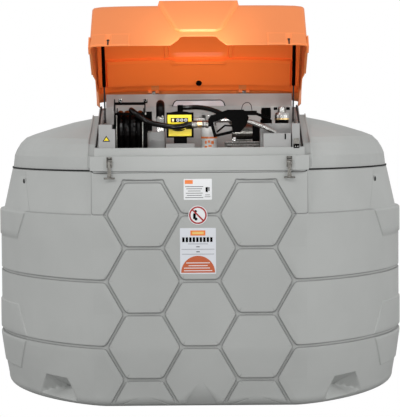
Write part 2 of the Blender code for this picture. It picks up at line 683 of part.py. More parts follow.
def build_cover(grey):
    levels = cover_levels()
    cover = add_object("tank_cover", loft_bm([cover_ring(*level) for level in levels]),
                       grey, smooth=True)
    inside = [cover_ring(z - (WALL if i > 2 else 0), inset, WALL)
              for i, (z, inset) in enumerate(levels)]
    inside.insert(0, [(x, y, SEAM_Z - WALL) for x, y, z in inside[0]])
    cut(cover, loft_bm(inside))
    foot = FRAME_FOOT_Z + GUTTER_LIP
    gutter = [(GUTTER_LINE[0][0], foot)] + [(d, z + GUTTER_LIP) for d, z in GUTTER_LINE] + [
        (GUTTER_LINE[-1][0], foot)]
    for side in (-1, 1):
        reach = [side * (HOOD_HALF - WALL), side * (GUTTER_OUTER + GUTTER_LIP)]
        join(cover, prism_bm(set_back(gutter), "X", min(reach), max(reach)))
    xs = np.linspace(-FRONT_BAND_HALF, FRONT_BAND_HALF, 17)
    band = [(x, -outline_y(x, 0, 0)) for x in xs]
    band += [(FRONT_BAND_HALF, FRONT + BAND_DEPTH), (-FRONT_BAND_HALF, FRONT + BAND_DEPTH)]
    join(cover, prism_bm(band, "Z", SEAM_Z, LEDGE_Z))
    front = RIM_SETBACK / 2
    channel = [(front, GUTTER_LINE[0][1])] + GUTTER_LINE[1:] + [
        (GUTTER_LINE[-1][0] + CUT_SPARE, RIDGE_Z), (front, RIDGE_Z)]
    for side in (-1, 1):
        reach = [side * (HOOD_HALF - WALL / 2), side * GUTTER_OUTER]
        cut(cover, prism_bm(set_back(channel), "X", min(reach), max(reach)))
    frame_rear = BAY_REAR + CUT_SPARE
    frame = [(RIM_SETBACK, FRAME_FOOT_Z), (RIM_SETBACK, RIM_Z), (BAY_FRONT, RIM_Z),
             (HINGE_SET_BACK - CUT_SPARE, FRAME_REAR_Z),
             (HINGE_SET_BACK + 2 * CUT_SPARE, FRAME_REAR_Z), FRAME_BACK,
             (frame_rear, FRAME_BACK[1] - BAY_BACK_THICK), (frame_rear, FRAME_FOOT_Z)]
    join(cover, prism_bm(set_back(frame), "X", -HOOD_HALF, HOOD_HALF))
    ridge = [(BAY_REAR, FRAME_BACK[1] - BAY_BACK_THICK), (BAY_REAR, SHELF_Z),
             (RIDGE_FRONT, RIDGE_Z), (RIDGE_REAR, RIDGE_Z), RIDGE_BACK,
             (RIDGE_BACK[0], FRAME_BACK[1])]
    join(cover, prism_bm(set_back(ridge), "X", -RIDGE_HALF, RIDGE_HALF))
    bay = [(BAY_FRONT, SEAM_Z - CUT_SPARE), (BAY_REAR, SEAM_Z - CUT_SPARE),
           (BAY_REAR, RIDGE_Z + CUT_SPARE), (BAY_FRONT, RIDGE_Z + CUT_SPARE)]
    cut(cover, prism_bm(set_back(bay), "X", -BAY_HALF, BAY_HALF))
    slope = (RIDGE_FRONT - BAY_REAR) / (RIDGE_Z - SHELF_Z)
    panel = prism_bm([(-PANEL_HALF, SHELF_Z), (PANEL_HALF, SHELF_Z),
                      (PANEL_TOP_HALF, RIDGE_Z - PANEL_TOP_GAP),
                      (-PANEL_TOP_HALF, RIDGE_Z - PANEL_TOP_GAP)],
                     "Y", FRONT + BAY_REAR - CUT_SPARE, FRONT + BAY_REAR + PANEL_DEPTH)
    window = [(-WINDOW_HALF, SHELF_Z + WINDOW_FOOT), (WINDOW_HALF, SHELF_Z + WINDOW_FOOT)]
    for angle in np.linspace(0, pi, 9):
        reach = WINDOW_HALF - WINDOW_RISE + WINDOW_RISE * abs(cos(angle))
        window.append((reach if cos(angle) > 0 else -reach,
                       SHELF_Z + WINDOW_FOOT + WINDOW_RISE * sin(angle)))
    hollow = prism_bm(window[2:], "Y", FRONT + BAY_REAR - CUT_SPARE,
                      FRONT + BAY_REAR + WINDOW_DEPTH)
    for tool in (panel, hollow):
        for vert in tool.verts:
            vert.co.y += slope * (vert.co.z - SHELF_Z)
        cut(cover, tool)


def build_bay(grey):
    low = FRONT + BAY_FRONT + FIT
    high = FRONT + BAY_REAR - FIT
    side = BAY_HALF - FIT
    floor = BAY_FLOOR_Z - BAY_FLOOR
    seat = BAY_FLOOR_Z - BAY_FLOOR / 2
    top = BAY_FLOOR_Z + SIDE_BOX_HEIGHT
    bay = add_object("pump_bay", box_bm((-side, low, floor), (side, high, BAY_FLOOR_Z)), grey)
    join(bay, box_bm((-side, low, seat), (-side + LEFT_BOX_REAR_WIDTH, high, top)))
    join(bay, box_bm((-side + WALL, low, seat), (-side + LEFT_BOX_WIDTH, low + LEFT_BOX_FRONT,
                                                 BAY_FLOOR_Z + LEFT_BOX_STEP)))
    block = FRONT + RIGHT_BOX_SET_BACK
    right = [(side, low), (side, high), (side - RIGHT_BOX_WIDTH, high),
             (side - RIGHT_BOX_WIDTH, block), (side - RIGHT_STRIP_WIDTH, block),
             (side - RIGHT_STRIP_WIDTH, low)]
    join(bay, prism_bm(right, "Z", seat, top))
    for near, far, height in (REEL_BLOCK, METER_BLOCK):
        join(bay, box_bm((near[0], FRONT + near[1], seat), spot(*far, height)))


def lid_outline(drop=0.0, pull=0.0):
    """Side outline of the closed lid as (reach forward, height) from the hinge line."""
    top = [(-LID_TAIL, LID_REAR_Z - drop), (0.07, LID_REAR_Z - drop),
           (LID_REACH - LID_SLOPE_END, LID_CROWN - drop),
           (LID_REACH - LID_CROWN_END - pull, LID_CROWN - drop),
           (LID_REACH - LID_LEAN - pull, LID_CROWN - 0.020 - drop)]
    return top + [(LID_REACH - pull / 2, -LID_DROP)] + LID_SIDE_LINE


def lid_bm(wall):
    rings = []
    share = (LID_HALF - wall) / LID_HALF
    stations = [(-(LID_HALF - away) * share, drop, pull) for away, drop, pull in LID_STATIONS]
    stations += [(-x, drop, pull) for x, drop, pull in stations[::-1]]
    for x, drop, pull in stations:
        outline = lid_outline(drop, pull)
        if wall:
            top = [(outline[0][0] + wall, outline[0][1] - wall)]
            top += [(f, z - wall) for f, z in outline[1:4]]
            top += [(outline[4][0] - wall, outline[4][1] - wall / 2)]
            low = -LID_DROP - CUT_SPARE
            outline = top + [(outline[5][0] - wall, low), (outline[0][0] + wall, low)]
        rings.append([(x, -f, z) for f, z in outline])
    return loft_bm(rings)


def build_lid(orange, pivot):
    lid = add_object("lid", lid_bm(0.0), orange)
    lean = LID_LEAN / (LID_DROP + LID_CROWN)
    face = LID_REACH - lean * LID_DROP
    panel = LID_PANEL + [(-x, z) for x, z in LID_PANEL[::-1]]
    raised = prism_bm(panel, "Y", -face - PANEL_PROUD, -face + PANEL_REACH_BACK)
    for vert in raised.verts:
        vert.co.y += lean * vert.co.z
    join(lid, raised)
    for side in (-1, 1):
        reach = [side * (LID_HALF - LID_WALL), side * (PAD_X[1][1] - 2 * FIT)]
        join(lid, prism_bm([(-f, z) for f, z in SIDE_PAD], "X", min(reach), max(reach)))
    for near, far in PAD_X:
        for side in (-1, 1):
            pad = box_bm((side * near, -face - PAD_PROUD, PAD_LOW),
                         (side * far, -face + CUT_SPARE, PAD_HIGH))
            for vert in pad.verts:
                vert.co.y += lean * vert.co.z
            join(lid, pad)
    cut(lid, lid_bm(LID_WALL))
    clear = RIDGE_HALF + TAIL_CLEAR
    cut(lid, box_bm((-clear, REAR_EDGE, -LID_DROP), (clear, LID_TAIL + CUT_SPARE, LID_DROP)))
    clear = HOOD_HALF + TAIL_CLEAR / 2
    cut(lid, box_bm((-clear, -REAR_EDGE, -LID_DROP),
                    (clear, LID_TAIL + CUT_SPARE, -2 * TAIL_CLEAR)))
    notch = [(x, z - LID_DROP) for x, z in NOTCH_OUTLINE]
    notch += [(-x, z) for x, z in notch[::-1]]
    cut(lid, prism_bm(notch, "Y", -LID_REACH - CUT_SPARE, -LID_REACH + 2 * CUT_SPARE))
    for side in (-1, 1):
        middle = side * KEYHOLE_X
        cut(lid, box_bm((middle - KEYHOLE_HALF, -LID_REACH - CUT_SPARE, -LID_DROP - CUT_SPARE),
                        (middle + KEYHOLE_HALF, -LID_REACH + CUT_SPARE,
                         -LID_DROP + KEYHOLE_RISE)))
    lid.parent = pivot


def build_hinges(steel, lid_pivot):
    """Leaf, middle knuckle and pin on the ridge; outer knuckles and leaf under the lid."""
    third = HINGE_WIDTH / 3
    gap = 2 * FIT
    half = KNUCKLE_RADIUS * 0.6
    y = FRONT + HINGE_SET_BACK
    under = LID_REAR_Z - LID_WALL - FIT
    for name, middle in (("left", -HINGE_X), ("right", HINGE_X)):
        low = middle - HINGE_WIDTH / 2
        fixed = add_object("hinge_" + name, box_bm(
            (low, y - half, RIDGE_Z + FIT),
            (low + HINGE_WIDTH, y + RIDGE_REAR - HINGE_SET_BACK - WALL, RIDGE_Z + HINGE_LEAF)),
            steel)
        x0 = low + third + gap
        x1 = low + 2 * third - gap
        join(fixed, box_bm((x0, y - half, RIDGE_Z + FIT * 2), (x1, y + half, HINGE_Z)))
        join(fixed, rod_bm((x0, y, HINGE_Z), (x1, y, HINGE_Z), KNUCKLE_RADIUS))
        join(fixed, rod_bm((low, y, HINGE_Z), (low + HINGE_WIDTH, y, HINGE_Z), PIN_RADIUS))
        moving = add_object("lid_hinge_" + name, box_bm(
            (low, -HINGE_WIDTH, under - HINGE_LEAF), (low + HINGE_WIDTH, 0.0, under)), steel)
        for start in (low, low + 2 * third):
            join(moving, box_bm((start, -KNUCKLE_RADIUS, 0.0), (start + third, 0.0, under - FIT)))
            join(moving, rod_bm((start, 0, 0), (start + third, 0, 0), KNUCKLE_RADIUS))
        cut(moving, box_bm((x0 - gap, -KNUCKLE_RADIUS - HINGE_LEAF, -KNUCKLE_RADIUS),
                           (x1 + gap, KNUCKLE_RADIUS, LID_REAR_Z)))
        cut(moving, rod_bm((low - WALL, 0, 0), (low + HINGE_WIDTH + WALL, 0, 0),
                           PIN_RADIUS + FIT))
        moving.parent = lid_pivot


def strut_geometry():
    """Length of the open strut and its lean, from the hinge line and its two ends."""
    f, z = STRUT_HEAD_CLOSED
    head = (f * cos(LID_OPEN) - z * sin(LID_OPEN), f * sin(LID_OPEN) + z * cos(LID_OPEN))
    run = (head[0] - STRUT_FOOT[0], head[1] - STRUT_FOOT[1])
    return hypot(*run), atan2(run[0], run[1])


def build_struts(black, steel, lid_pivot):
    length, lean = strut_geometry()
    top = BAY_FLOOR_Z + SIDE_BOX_HEIGHT
    for name, side in (("left", -1), ("right", 1)):
        x = side * STRUT_X
        foot = Vector((x, FRONT + HINGE_SET_BACK - STRUT_FOOT[0], HINGE_Z + STRUT_FOOT[1]))
        pivot = bpy.data.objects.new("strut_pivot_" + name, None)
        bpy.context.scene.collection.objects.link(pivot)
        pivot.location = foot
        pivot.rotation_euler.x = lean
        plate = add_object("strut_foot_" + name, box_bm(
            (x - FOOT_HALF[0], foot.y - FOOT_HALF[1], top + FIT),
            (x + FOOT_HALF[0], foot.y + FOOT_HALF[1], top + EAR_THICK)), steel)
        ear = x + side * (EYE_HALF + FIT)
        join(plate, box_bm((ear, foot.y - EYE_RADIUS, top + 2 * FIT),
                           (ear + side * EAR_THICK, foot.y + EYE_RADIUS, foot.z + EYE_RADIUS)))
        rod = add_object("strut_rod_" + name, rod_bm(
            (0, 0, EYE_HALF), (0, 0, ROD_LENGTH), ROD_RADIUS, 12), steel)
        join(rod, rod_bm((-EYE_HALF, 0, 0), (EYE_HALF, 0, 0), EYE_RADIUS, 12))
        rod.parent = pivot
        start = length - CYLINDER_LENGTH
        bore = ROD_RADIUS + FIT
        blunt = CYLINDER_RADIUS * 0.4
        cylinder = add_object("strut_cylinder_" + name, turned_bm(
            [(0, length - 5 * blunt), (bore, length - 5 * blunt), (bore, start),
             (CYLINDER_RADIUS - blunt / 2, start), (CYLINDER_RADIUS, start + blunt),
             (CYLINDER_RADIUS, length - 4 * blunt), (blunt, length - 3 * blunt),
             (blunt, length), (0, length)], (0, 0, 0), (0, 0, 1), 12), black, smooth=True)
        join(cylinder, rod_bm((-STUD_RADIUS, 0, length), (STUD_RADIUS, 0, length),
                              EYE_RADIUS, 12))
        cylinder.parent = pivot
        f, z = STRUT_HEAD_CLOSED
        reach = side * (LID_HALF - LID_WALL - FIT)
        stud = add_object("lid_stud_" + name, rod_bm(
            (side * (STRUT_X + EYE_HALF + FIT), -f, z), (reach, -f, z), STUD_RADIUS, 12), steel)
        join(stud, box_bm((reach, -f - FOOT_HALF[1], z - EYE_RADIUS),
                          (reach - side * EAR_THICK, -f + FOOT_HALF[1], z + EYE_RADIUS)))
        stud.parent = lid_pivot


def build_latches(steel):
    """Draw latch: base plate with ears and a hook, and a lever with a T bar."""
    for name, side in (("left", -1), ("right", 1)):
        x = side * LATCH_X
        half = LATCH_WIDTH / 2
        base = add_object("latch_plate_" + name, box_bm(
            (x - half, FRONT - LATCH_PLATE, LATCH_PIVOT_Z - LATCH_WIDTH),
            (x + half, FRONT - FIT, LEDGE_Z - LATCH_TOP_GAP)), steel)
        for ear in (-1, 1):
            near = x + ear * (half - LATCH_EAR)
            join(base, box_bm((near, FRONT - LATCH_PIN_OUT - LATCH_PIN_RADIUS,
                               LATCH_PIVOT_Z - 2 * LATCH_PIN_RADIUS),
                              (x + ear * half, FRONT - FIT * 2,
                               LATCH_PIVOT_Z + 2 * LATCH_PIN_RADIUS)))
        pin_y = FRONT - LATCH_PIN_OUT
        inner = half - LATCH_EAR - FIT
        lever = add_object("latch_lever_" + name, rod_bm(
            (x - inner, pin_y, LATCH_PIVOT_Z), (x + inner, pin_y, LATCH_PIVOT_Z),
            LATCH_PIN_RADIUS, 12), steel)
        low = LATCH_PIVOT_Z - LATCH_LENGTH
        blade = [(x - inner, low), (x + inner, low), (x + inner * LATCH_TAPER, LATCH_PIVOT_Z),
                 (x - inner * LATCH_TAPER, LATCH_PIVOT_Z)]
        join(lever, prism_bm(blade, "Y", pin_y - LATCH_PIN_RADIUS,
                             pin_y - LATCH_PIN_RADIUS + LATCH_EAR))
        bar_y = pin_y - LATCH_PIN_RADIUS
        join(lever, rod_bm((x - LATCH_BAR_HALF, bar_y, low), (x + LATCH_BAR_HALF, bar_y, low),
                           LATCH_PIN_RADIUS, 12))


def build_reel(black, steel, rubber):
    y = FRONT + REEL_SET_BACK
    z = BAY_FLOOR_Z + REEL_HEIGHT
    half = REEL_WIDTH / 2
    left = REEL_X - half
    right = REEL_X + half
    outline = [spot(0, d, h)[1:] for d, h in PLATE_OUTLINE]
    frame = add_object("reel_frame", prism_bm(outline, "X", left, left + FRAME_PLATE), steel)
    join(frame, prism_bm(outline, "X", right - FRAME_PLATE, right))
    spare = FRAME_PLATE / 2
    for d, h in (TIE_BARS[0], TIE_BARS[3]):
        join(frame, rod_bm(spot(left + spare, d, h), spot(right - spare, d, h), TIE_RADIUS, 12))
    join(frame, rod_bm((left - FRAME_PLATE, y, z), (right + AXLE_RADIUS, y, z), AXLE_RADIUS))
    for edge, (out_by, low, high) in zip((left + spare, right - spare), BRACKETS):
        join(frame, box_bm(spot(edge, BRACKET_SET_BACK[0], low),
                           spot(edge + out_by, BRACKET_SET_BACK[1], high)))
    inner = half - FRAME_PLATE - FIT
    bars = add_object("reel_bars", rod_bm(spot(REEL_X - inner, *TIE_BARS[1]),
                                          spot(REEL_X + inner, *TIE_BARS[1]), TIE_RADIUS, 12),
                      steel)
    join(bars, rod_bm(spot(REEL_X - inner, *TIE_BARS[2]), spot(REEL_X + inner, *TIE_BARS[2]),
                      TIE_RADIUS, 12))
    for side in (-1, 1):
        x = REEL_X + side * UPRIGHT_OFFSET
        join(bars, box_bm(spot(x - spare, TIE_BARS[2][0] - spare, TIE_BARS[2][1]),
                          spot(x + spare, TIE_BARS[1][0] + spare, TIE_BARS[1][1])))
    flange = half - FRAME_PLATE - AXLE_RADIUS * 0.6
    bore = AXLE_RADIUS + FIT
    thick = FRAME_PLATE * 0.75
    add_object("reel_drum", turned_bm(
        [(bore, -flange), (REEL_RADIUS, -flange), (REEL_RADIUS, -flange + thick),
         (HUB_RADIUS, -flange + thick), (HUB_RADIUS, flange - thick),
         (REEL_RADIUS, flange - thick), (REEL_RADIUS, flange), (bore, flange)],
        (REEL_X, y, z), (1, 0, 0), 32, closed=True), black, smooth=True)
    inside = flange - thick - 2 * FIT
    pitch = 2 * inside / HOSE_TURNS
    profile = [(HUB_RADIUS + FIT, -inside)]
    for turn in range(HOSE_TURNS):
        middle = -inside + pitch * (turn + 0.5)
        for angle in np.linspace(-80, 80, 5):
            profile.append((WINDING_RADIUS - HOSE_RADIUS + HOSE_RADIUS * cos(radians(angle)),
                            middle + pitch / 2 * sin(radians(angle))))
    profile.append((HUB_RADIUS + FIT, inside))
    add_object("hose_winding", turned_bm(profile, (REEL_X, y, z), (1, 0, 0), 32, closed=True),
               rubber, smooth=True)
    tube("hose_lead", smooth_path([spot(*point) for point in LEAD_ROUTE], 24), HOSE_RADIUS,
         rubber)


def plate_bm(corners, near, far):
    """Flat plate between two set-backs, from its lower and upper corners (x, height)."""
    low, high = corners
    return box_bm(spot(low[0], near, low[1]), spot(high[0], far, high[1]))


def build_meter(black, yellow, steel, white):
    meter = add_object("meter_body", box_bm(spot(*METER_LOW), spot(*METER_HIGH)), black)
    near, far = METER_LEG
    join(meter, box_bm(spot(*near, METER_BLOCK[2] + FIT), spot(*far, METER_LOW[2] + WALL)))
    x, d, h = METER_PORT
    join(meter, rod_bm(spot(x, d, METER_HIGH[2] - WALL), spot(x, d, h), METER_PORT_RADIUS))
    front = METER_LOW[1]
    face = add_object("meter_face", plate_bm(FACE_UPPER, front - FACE_THICK, front - FIT),
                      yellow)
    join(face, plate_bm(FACE_LOWER, front - FACE_THICK, front - FIT))
    middle = (METER_LOW[0] + METER_HIGH[0]) / 2
    join(face, plate_bm(((middle - FACE_WEB_HALF, FACE_LOWER[0][1]),
                         (middle + FACE_WEB_HALF, FACE_WINDOW[0][1])),
                        front - FACE_THICK / 2, front - FIT))
    cut(face, plate_bm(FACE_WINDOW, front - 2 * FACE_THICK, front + FACE_THICK))
    d, h = HOSE_LINE
    add_object("hose_swivel", rod_bm(spot(SWIVEL_SPAN[0], d, h), spot(SWIVEL_SPAN[1], d, h),
                                     SWIVEL_RADIUS), steel, smooth=True)
    low, high = FILTER_SPAN
    round_off = FILTER_RADIUS - FIT - low / 4
    add_object("filter_can", turned_bm(
        [(0, low), (round_off, low), (FILTER_RADIUS, low + low / 3), (FILTER_RADIUS, high),
         (0, high)], spot(*FILTER_AT, 0), (0, 0, 1), 24), white, smooth=True)
    head = add_object("filter_head", rod_bm(spot(*FILTER_AT, high + FIT),
                                            spot(*FILTER_AT, FILTER_HEAD[1]), FILTER_HEAD[0],
                                            20), steel, smooth=True)
    join(head, rod_bm(spot(METER_HIGH[0] + FIT, *FILTER_PORT),
                      spot(FILTER_PORT_END, *FILTER_PORT), PORT_RADIUS, 12))


def build_pump(black, steel, rubber):
    motor = add_object("pump_motor", rod_bm(spot(MOTOR_SPAN[0], *MOTOR_LINE),
                                            spot(MOTOR_SPAN[1], *MOTOR_LINE), MOTOR_RADIUS,
                                            24), steel, smooth=True)
    end = PUMP_HOSE_ROUTE[-1]
    join(motor, rod_bm(spot(MOTOR_PORT[0], MOTOR_LINE[0], MOTOR_PORT[1]),
                       spot(end[0] + FIT, end[1], end[2] - FIT), PORT_RADIUS))
    base = add_object("pump_base", box_bm(spot(*PUMP_BASE_LOW), spot(*PUMP_BASE_HIGH)), steel)
    middle = (MOTOR_SPAN[0] + MOTOR_SPAN[1]) / 2
    join(base, box_bm(spot(middle - PUMP_FOOT_HALF[0], MOTOR_LINE[0] - PUMP_FOOT_HALF[1],
                           PUMP_BASE_HIGH[2] - WALL / 2),
                      spot(middle + PUMP_FOOT_HALF[0], MOTOR_LINE[0] + PUMP_FOOT_HALF[1],
                           MOTOR_LINE[1] - MOTOR_RADIUS - FIT)))
    for x in PUMP_LEGS:
        join(base, box_bm(spot(x, PUMP_BASE_LOW[1] + PUMP_LEG_WIDTH / 2, FIT),
                          spot(x + PUMP_LEG_WIDTH, PUMP_BASE_HIGH[1] - PUMP_LEG_WIDTH / 2,
                               PUMP_BASE_LOW[2] + WALL / 2)))
    near, far, high = TERMINAL_BOX
    add_object("terminal_box", box_bm(spot(*near, PUMP_BASE_HIGH[2] + FIT), spot(*far, high)),
               black)
    x, d = BEND_AT
    add_object("suction_fitting", box_bm(
        spot(x - FITTING_HALF, d - FITTING_HALF, REEL_BLOCK[2] + FIT),
        spot(x + FITTING_HALF, d + FITTING_HALF, FITTING_TOP)), steel)
    path = [spot(x, d, FITTING_TOP + FIT)]
    for angle in np.linspace(pi, 0, 9):
        path.append(spot(x, d + BEND_TURN + BEND_TURN * cos(angle),
                         BEND_TOP + BEND_TURN * sin(angle)))
    path.append(spot(x, d + 2 * BEND_TURN, REEL_BLOCK[2] + FIT))
    add_object("suction_bend", swept_bm(path, BEND_RADIUS, (1, 0, 0)), rubber, smooth=True)
    tube("pump_hose", smooth_path([spot(*point) for point in PUMP_HOSE_ROUTE], 20),
         PUMP_HOSE_RADIUS, rubber)


def build_nozzle(black, steel, grey):
    line = FRONT + HOSE_LINE[0]
    body = [spot(x, 0, h)[::2] for x, h in NOZZLE_OUTLINE]
    nozzle = add_object("nozzle_body", prism_bm(body, "Y", line - NOZZLE_HALF,
                                                line + NOZZLE_HALF), black)
    guard = [spot(x, 0, h)[::2] for x, h in GUARD_OUTLINE]
    join(nozzle, prism_bm(guard, "Y", line - GUARD_HALF, line + GUARD_HALF))
    near = HOSE_LINE[0] - SENSOR_HALF
    join(nozzle, plate_bm(SENSOR_BLOCK, near, near + 2 * SENSOR_HALF))
    start, end = SENSOR_ROD
    join(nozzle, rod_bm(spot(start[0], HOSE_LINE[0], start[1]),
                        spot(end[0], HOSE_LINE[0], end[1]), SENSOR_ROD_RADIUS, 12))
    near = HOSE_LINE[0] - TRIGGER_HALF * 1.25
    cut(nozzle, plate_bm(TRIGGER_SLOT, near, near + TRIGGER_HALF * 2.5))
    x, h = TRIGGER_PIN
    near = HOSE_LINE[0] - NOZZLE_HALF * 0.75
    far = HOSE_LINE[0] + NOZZLE_HALF * 0.75
    join(nozzle, rod_bm(spot(x, near, h), spot(x, far, h), TRIGGER_PIN_RADIUS, 12))
    path = [spot(x_, HOSE_LINE[0], h_) for x_, h_ in SPOUT_ROUTE]
    add_object("nozzle_spout", swept_bm(path, SPOUT_RADIUS, (0, 1, 0)), steel, smooth=True)
    outline = [spot(x_, 0, h_)[::2] for x_, h_ in TRIGGER_OUTLINE]
    lever = add_object("nozzle_trigger", prism_bm(outline, "Y", line - TRIGGER_HALF,
                                                  line + TRIGGER_HALF), black)
    join(lever, rod_bm((spot(x, 0, h)[0], line - TRIGGER_HALF, spot(x, 0, h)[2]),
                       (spot(x, 0, h)[0], line + TRIGGER_HALF, spot(x, 0, h)[2]),
                       TRIGGER_EYE, 12))
    cut(lever, rod_bm(spot(x, near, h), spot(x, far, h), TRIGGER_PIN_RADIUS + FIT, 12))
    holster = add_object("nozzle_holster", box_bm(spot(*HOLSTER_LOW), spot(*HOLSTER_HIGH)), grey)
    cut(holster, box_bm(spot(HOLSTER_LOW[0] + HOLSTER_WALL, HOLSTER_LOW[1] + HOLSTER_WALL,
                             HOLSTER_WALL),
                        spot(HOLSTER_HIGH[0] - HOLSTER_WALL, HOLSTER_HIGH[1] - HOLSTER_WALL,
                             HOLSTER_HIGH[2] + HOLSTER_WALL)))


def build_caps(black, steel):
    seat = SIDE_BOX_HEIGHT + FIT
    filler = spot(FILLER_X, FILLER_SET_BACK, seat)
    vent = spot(VENT_X, FILLER_SET_BACK, seat)
    up = (0, 0, 1)
    add_object("filler_coupling", turned_bm(FILLER_PROFILE, filler, up), black, smooth=True)
    cap = add_object("filler_cap", turned_bm(CAP_PROFILE, filler, up), steel, smooth=True)
    x, y, z = filler
    join(cap, box_bm((x - CAP_GRIP_HALF[0], y - CAP_GRIP_HALF[1], z + CAP_PROFILE[3][1]),
                     (x + CAP_GRIP_HALF[0], y + CAP_GRIP_HALF[1], z + CAP_GRIP_TOP)))
    add_object("vent_cap", turned_bm(VENT_PROFILE, vent, up), black, smooth=True)
    add_object("lid_lock", box_bm((LOCK_LOW[0], FRONT + LOCK_LOW[1], RIM_Z + FIT),
                                  (LOCK_HIGH[0], FRONT + LOCK_HIGH[1], RIM_Z + LOCK_HEIGHT)),
               steel)


def build():
    for obj in list(bpy.data.objects):
        bpy.data.objects.remove(obj)
    grey = material("grey_plastic", (0.40, 0.41, 0.40), 0.5)
    orange = material("orange_plastic", (0.80, 0.22, 0.04), 0.4)
    black = material("black_plastic", (0.02, 0.02, 0.02), 0.4)
    rubber = material("black_rubber", (0.015, 0.015, 0.015), 0.6)
    steel = material("bright_steel", (0.62, 0.60, 0.57), 0.3, 1.0)
    yellow = material("yellow_plastic", (0.85, 0.70, 0.03), 0.4)
    white = material("white_enamel", (0.85, 0.85, 0.85), 0.35)
    build_outer_tank(grey)
    build_inner_tank(grey)
    build_cover(grey)
    build_bay(grey)
    pivot = bpy.data.objects.new("lid_pivot", None)
    bpy.context.scene.collection.objects.link(pivot)
    pivot.location = (0, FRONT + HINGE_SET_BACK, HINGE_Z)
    pivot.rotation_euler.x = -LID_OPEN
    build_lid(orange, pivot)
    build_hinges(steel, pivot)
    build_struts(black, steel, pivot)
    build_latches(steel)
    build_reel(black, steel, rubber)
    build_meter(black, yellow, steel, white)
    build_pump(black, steel, rubber)
    build_nozzle(black, steel, grey)
    build_caps(black, steel)


build()
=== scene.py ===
import bpy
import bmesh
import numpy as np
from math import cos, pi, radians, sin
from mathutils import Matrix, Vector


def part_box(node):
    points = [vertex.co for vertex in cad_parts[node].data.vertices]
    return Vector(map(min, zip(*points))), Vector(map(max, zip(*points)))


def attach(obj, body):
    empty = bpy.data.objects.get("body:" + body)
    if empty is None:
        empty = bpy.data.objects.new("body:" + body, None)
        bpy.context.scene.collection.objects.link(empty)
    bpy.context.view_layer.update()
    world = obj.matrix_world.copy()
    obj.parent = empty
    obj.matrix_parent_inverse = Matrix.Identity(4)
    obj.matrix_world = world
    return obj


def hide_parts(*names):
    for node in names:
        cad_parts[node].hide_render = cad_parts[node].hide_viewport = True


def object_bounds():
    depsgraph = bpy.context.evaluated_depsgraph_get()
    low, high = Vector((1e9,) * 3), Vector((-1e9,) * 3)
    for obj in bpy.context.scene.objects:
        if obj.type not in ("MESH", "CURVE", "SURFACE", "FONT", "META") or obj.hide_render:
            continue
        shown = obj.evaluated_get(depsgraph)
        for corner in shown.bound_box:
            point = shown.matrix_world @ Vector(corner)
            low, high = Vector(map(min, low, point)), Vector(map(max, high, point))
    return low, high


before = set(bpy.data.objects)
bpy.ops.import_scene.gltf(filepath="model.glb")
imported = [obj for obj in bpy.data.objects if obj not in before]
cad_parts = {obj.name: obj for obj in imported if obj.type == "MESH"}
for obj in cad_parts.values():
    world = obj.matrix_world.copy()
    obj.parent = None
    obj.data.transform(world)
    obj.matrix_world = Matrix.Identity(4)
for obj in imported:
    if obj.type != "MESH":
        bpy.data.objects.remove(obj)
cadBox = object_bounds()
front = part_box("outer_tank")[0][1]      # y of the tank's front face
bayFloor = 1.300                        # height of the floor that the bay's kit stands on
print("frame loaded")


# Camera: a long lens in front of the tank, tipped down a little, with the picture's slight roll

cameraSetup = {
    "distance": 9.5,
    "height": 1.509,
    "side": 0.005,
    "lens": 157.4,
    "pitchDown": 2.78,
    "roll": 0.42,
}


def makeCamera(setup):
    data = bpy.data.cameras.new("camera")
    data.lens = setup["lens"]
    data.sensor_width = 36.0
    data.clip_end = 100.0
    camera = bpy.data.objects.new("camera", data)
    camera.location = (setup["side"], front - setup["distance"], setup["height"])
    camera.rotation_euler = (radians(90 - setup["pitchDown"]), radians(setup["roll"]), 0)
    bpy.context.scene.collection.objects.link(camera)
    bpy.context.scene.camera = camera


makeCamera(cameraSetup)


# Cord: the hose between reel and nozzle

hoseSetup = {
    "radius": 0.0145,
    "points": 60,
    "route": [(-0.357, 0.200, 0.262), (-0.357, 0.147, 0.2633), (-0.337, 0.120, 0.249),
              (-0.300, 0.112, 0.220), (-0.261, 0.116, 0.1985), (-0.205, 0.128, 0.1835),
              (-0.142, 0.135, 0.1740), (-0.094, 0.135, 0.1765), (-0.060, 0.135, 0.1850),
              (-0.0380, 0.135, 0.1860)],
}


def inBay(points):
    # Places given as (x, set back from the front, height above the bay's floor)
    return np.array(points, float) + (0, front, bayFloor)


def smoothPath(points, count):
    # Catmull-Rom curve through the points, evenly read
    points = np.array(points, float)
    ends = np.vstack([2 * points[0] - points[1], points, 2 * points[-1] - points[-2]])
    t = np.linspace(0, 1, 20, endpoint=False)[:, None]
    dense = []
    for a, b, c, d in zip(ends, ends[1:], ends[2:], ends[3:]):
        dense.append(0.5 * (2 * b + (c - a) * t + (2 * a - 5 * b + 4 * c - d) * t ** 2
                            + (3 * b - a - 3 * c + d) * t ** 3))
    dense = np.concatenate(dense + [points[-1:]])
    run = np.concatenate([[0], np.cumsum(np.linalg.norm(np.diff(dense, axis=0), axis=1))])
    even = np.linspace(0, run[-1], count)
    return np.stack([np.interp(even, run, dense[:, k]) for k in range(dense.shape[1])], axis=-1)


def makeHose(setup):
    # A round tube along the route, drawn as a curve and kept as a mesh
    points = smoothPath(inBay(setup["route"]), setup["points"])
    curve = bpy.data.curves.new("supply_hose", "CURVE")
    curve.dimensions = "3D"
    curve.bevel_depth = setup["radius"]
    curve.bevel_resolution = 5
    curve.use_fill_caps = True
    spline = curve.splines.new("POLY")
    spline.points.add(len(points) - 1)
    spline.points.foreach_set("co", np.column_stack([points, np.ones(len(points))]).ravel())
    spline.use_smooth = True
    drawn = bpy.data.objects.new("drawnHose", curve)
    mesh = bpy.data.meshes.new_from_object(drawn)
    bpy.data.objects.remove(drawn)
    hose = bpy.data.objects.new("supply_hose", mesh)
    bpy.context.scene.collection.objects.link(hose)
    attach(hose, "tank")
    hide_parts("hose_lead")
    return hose


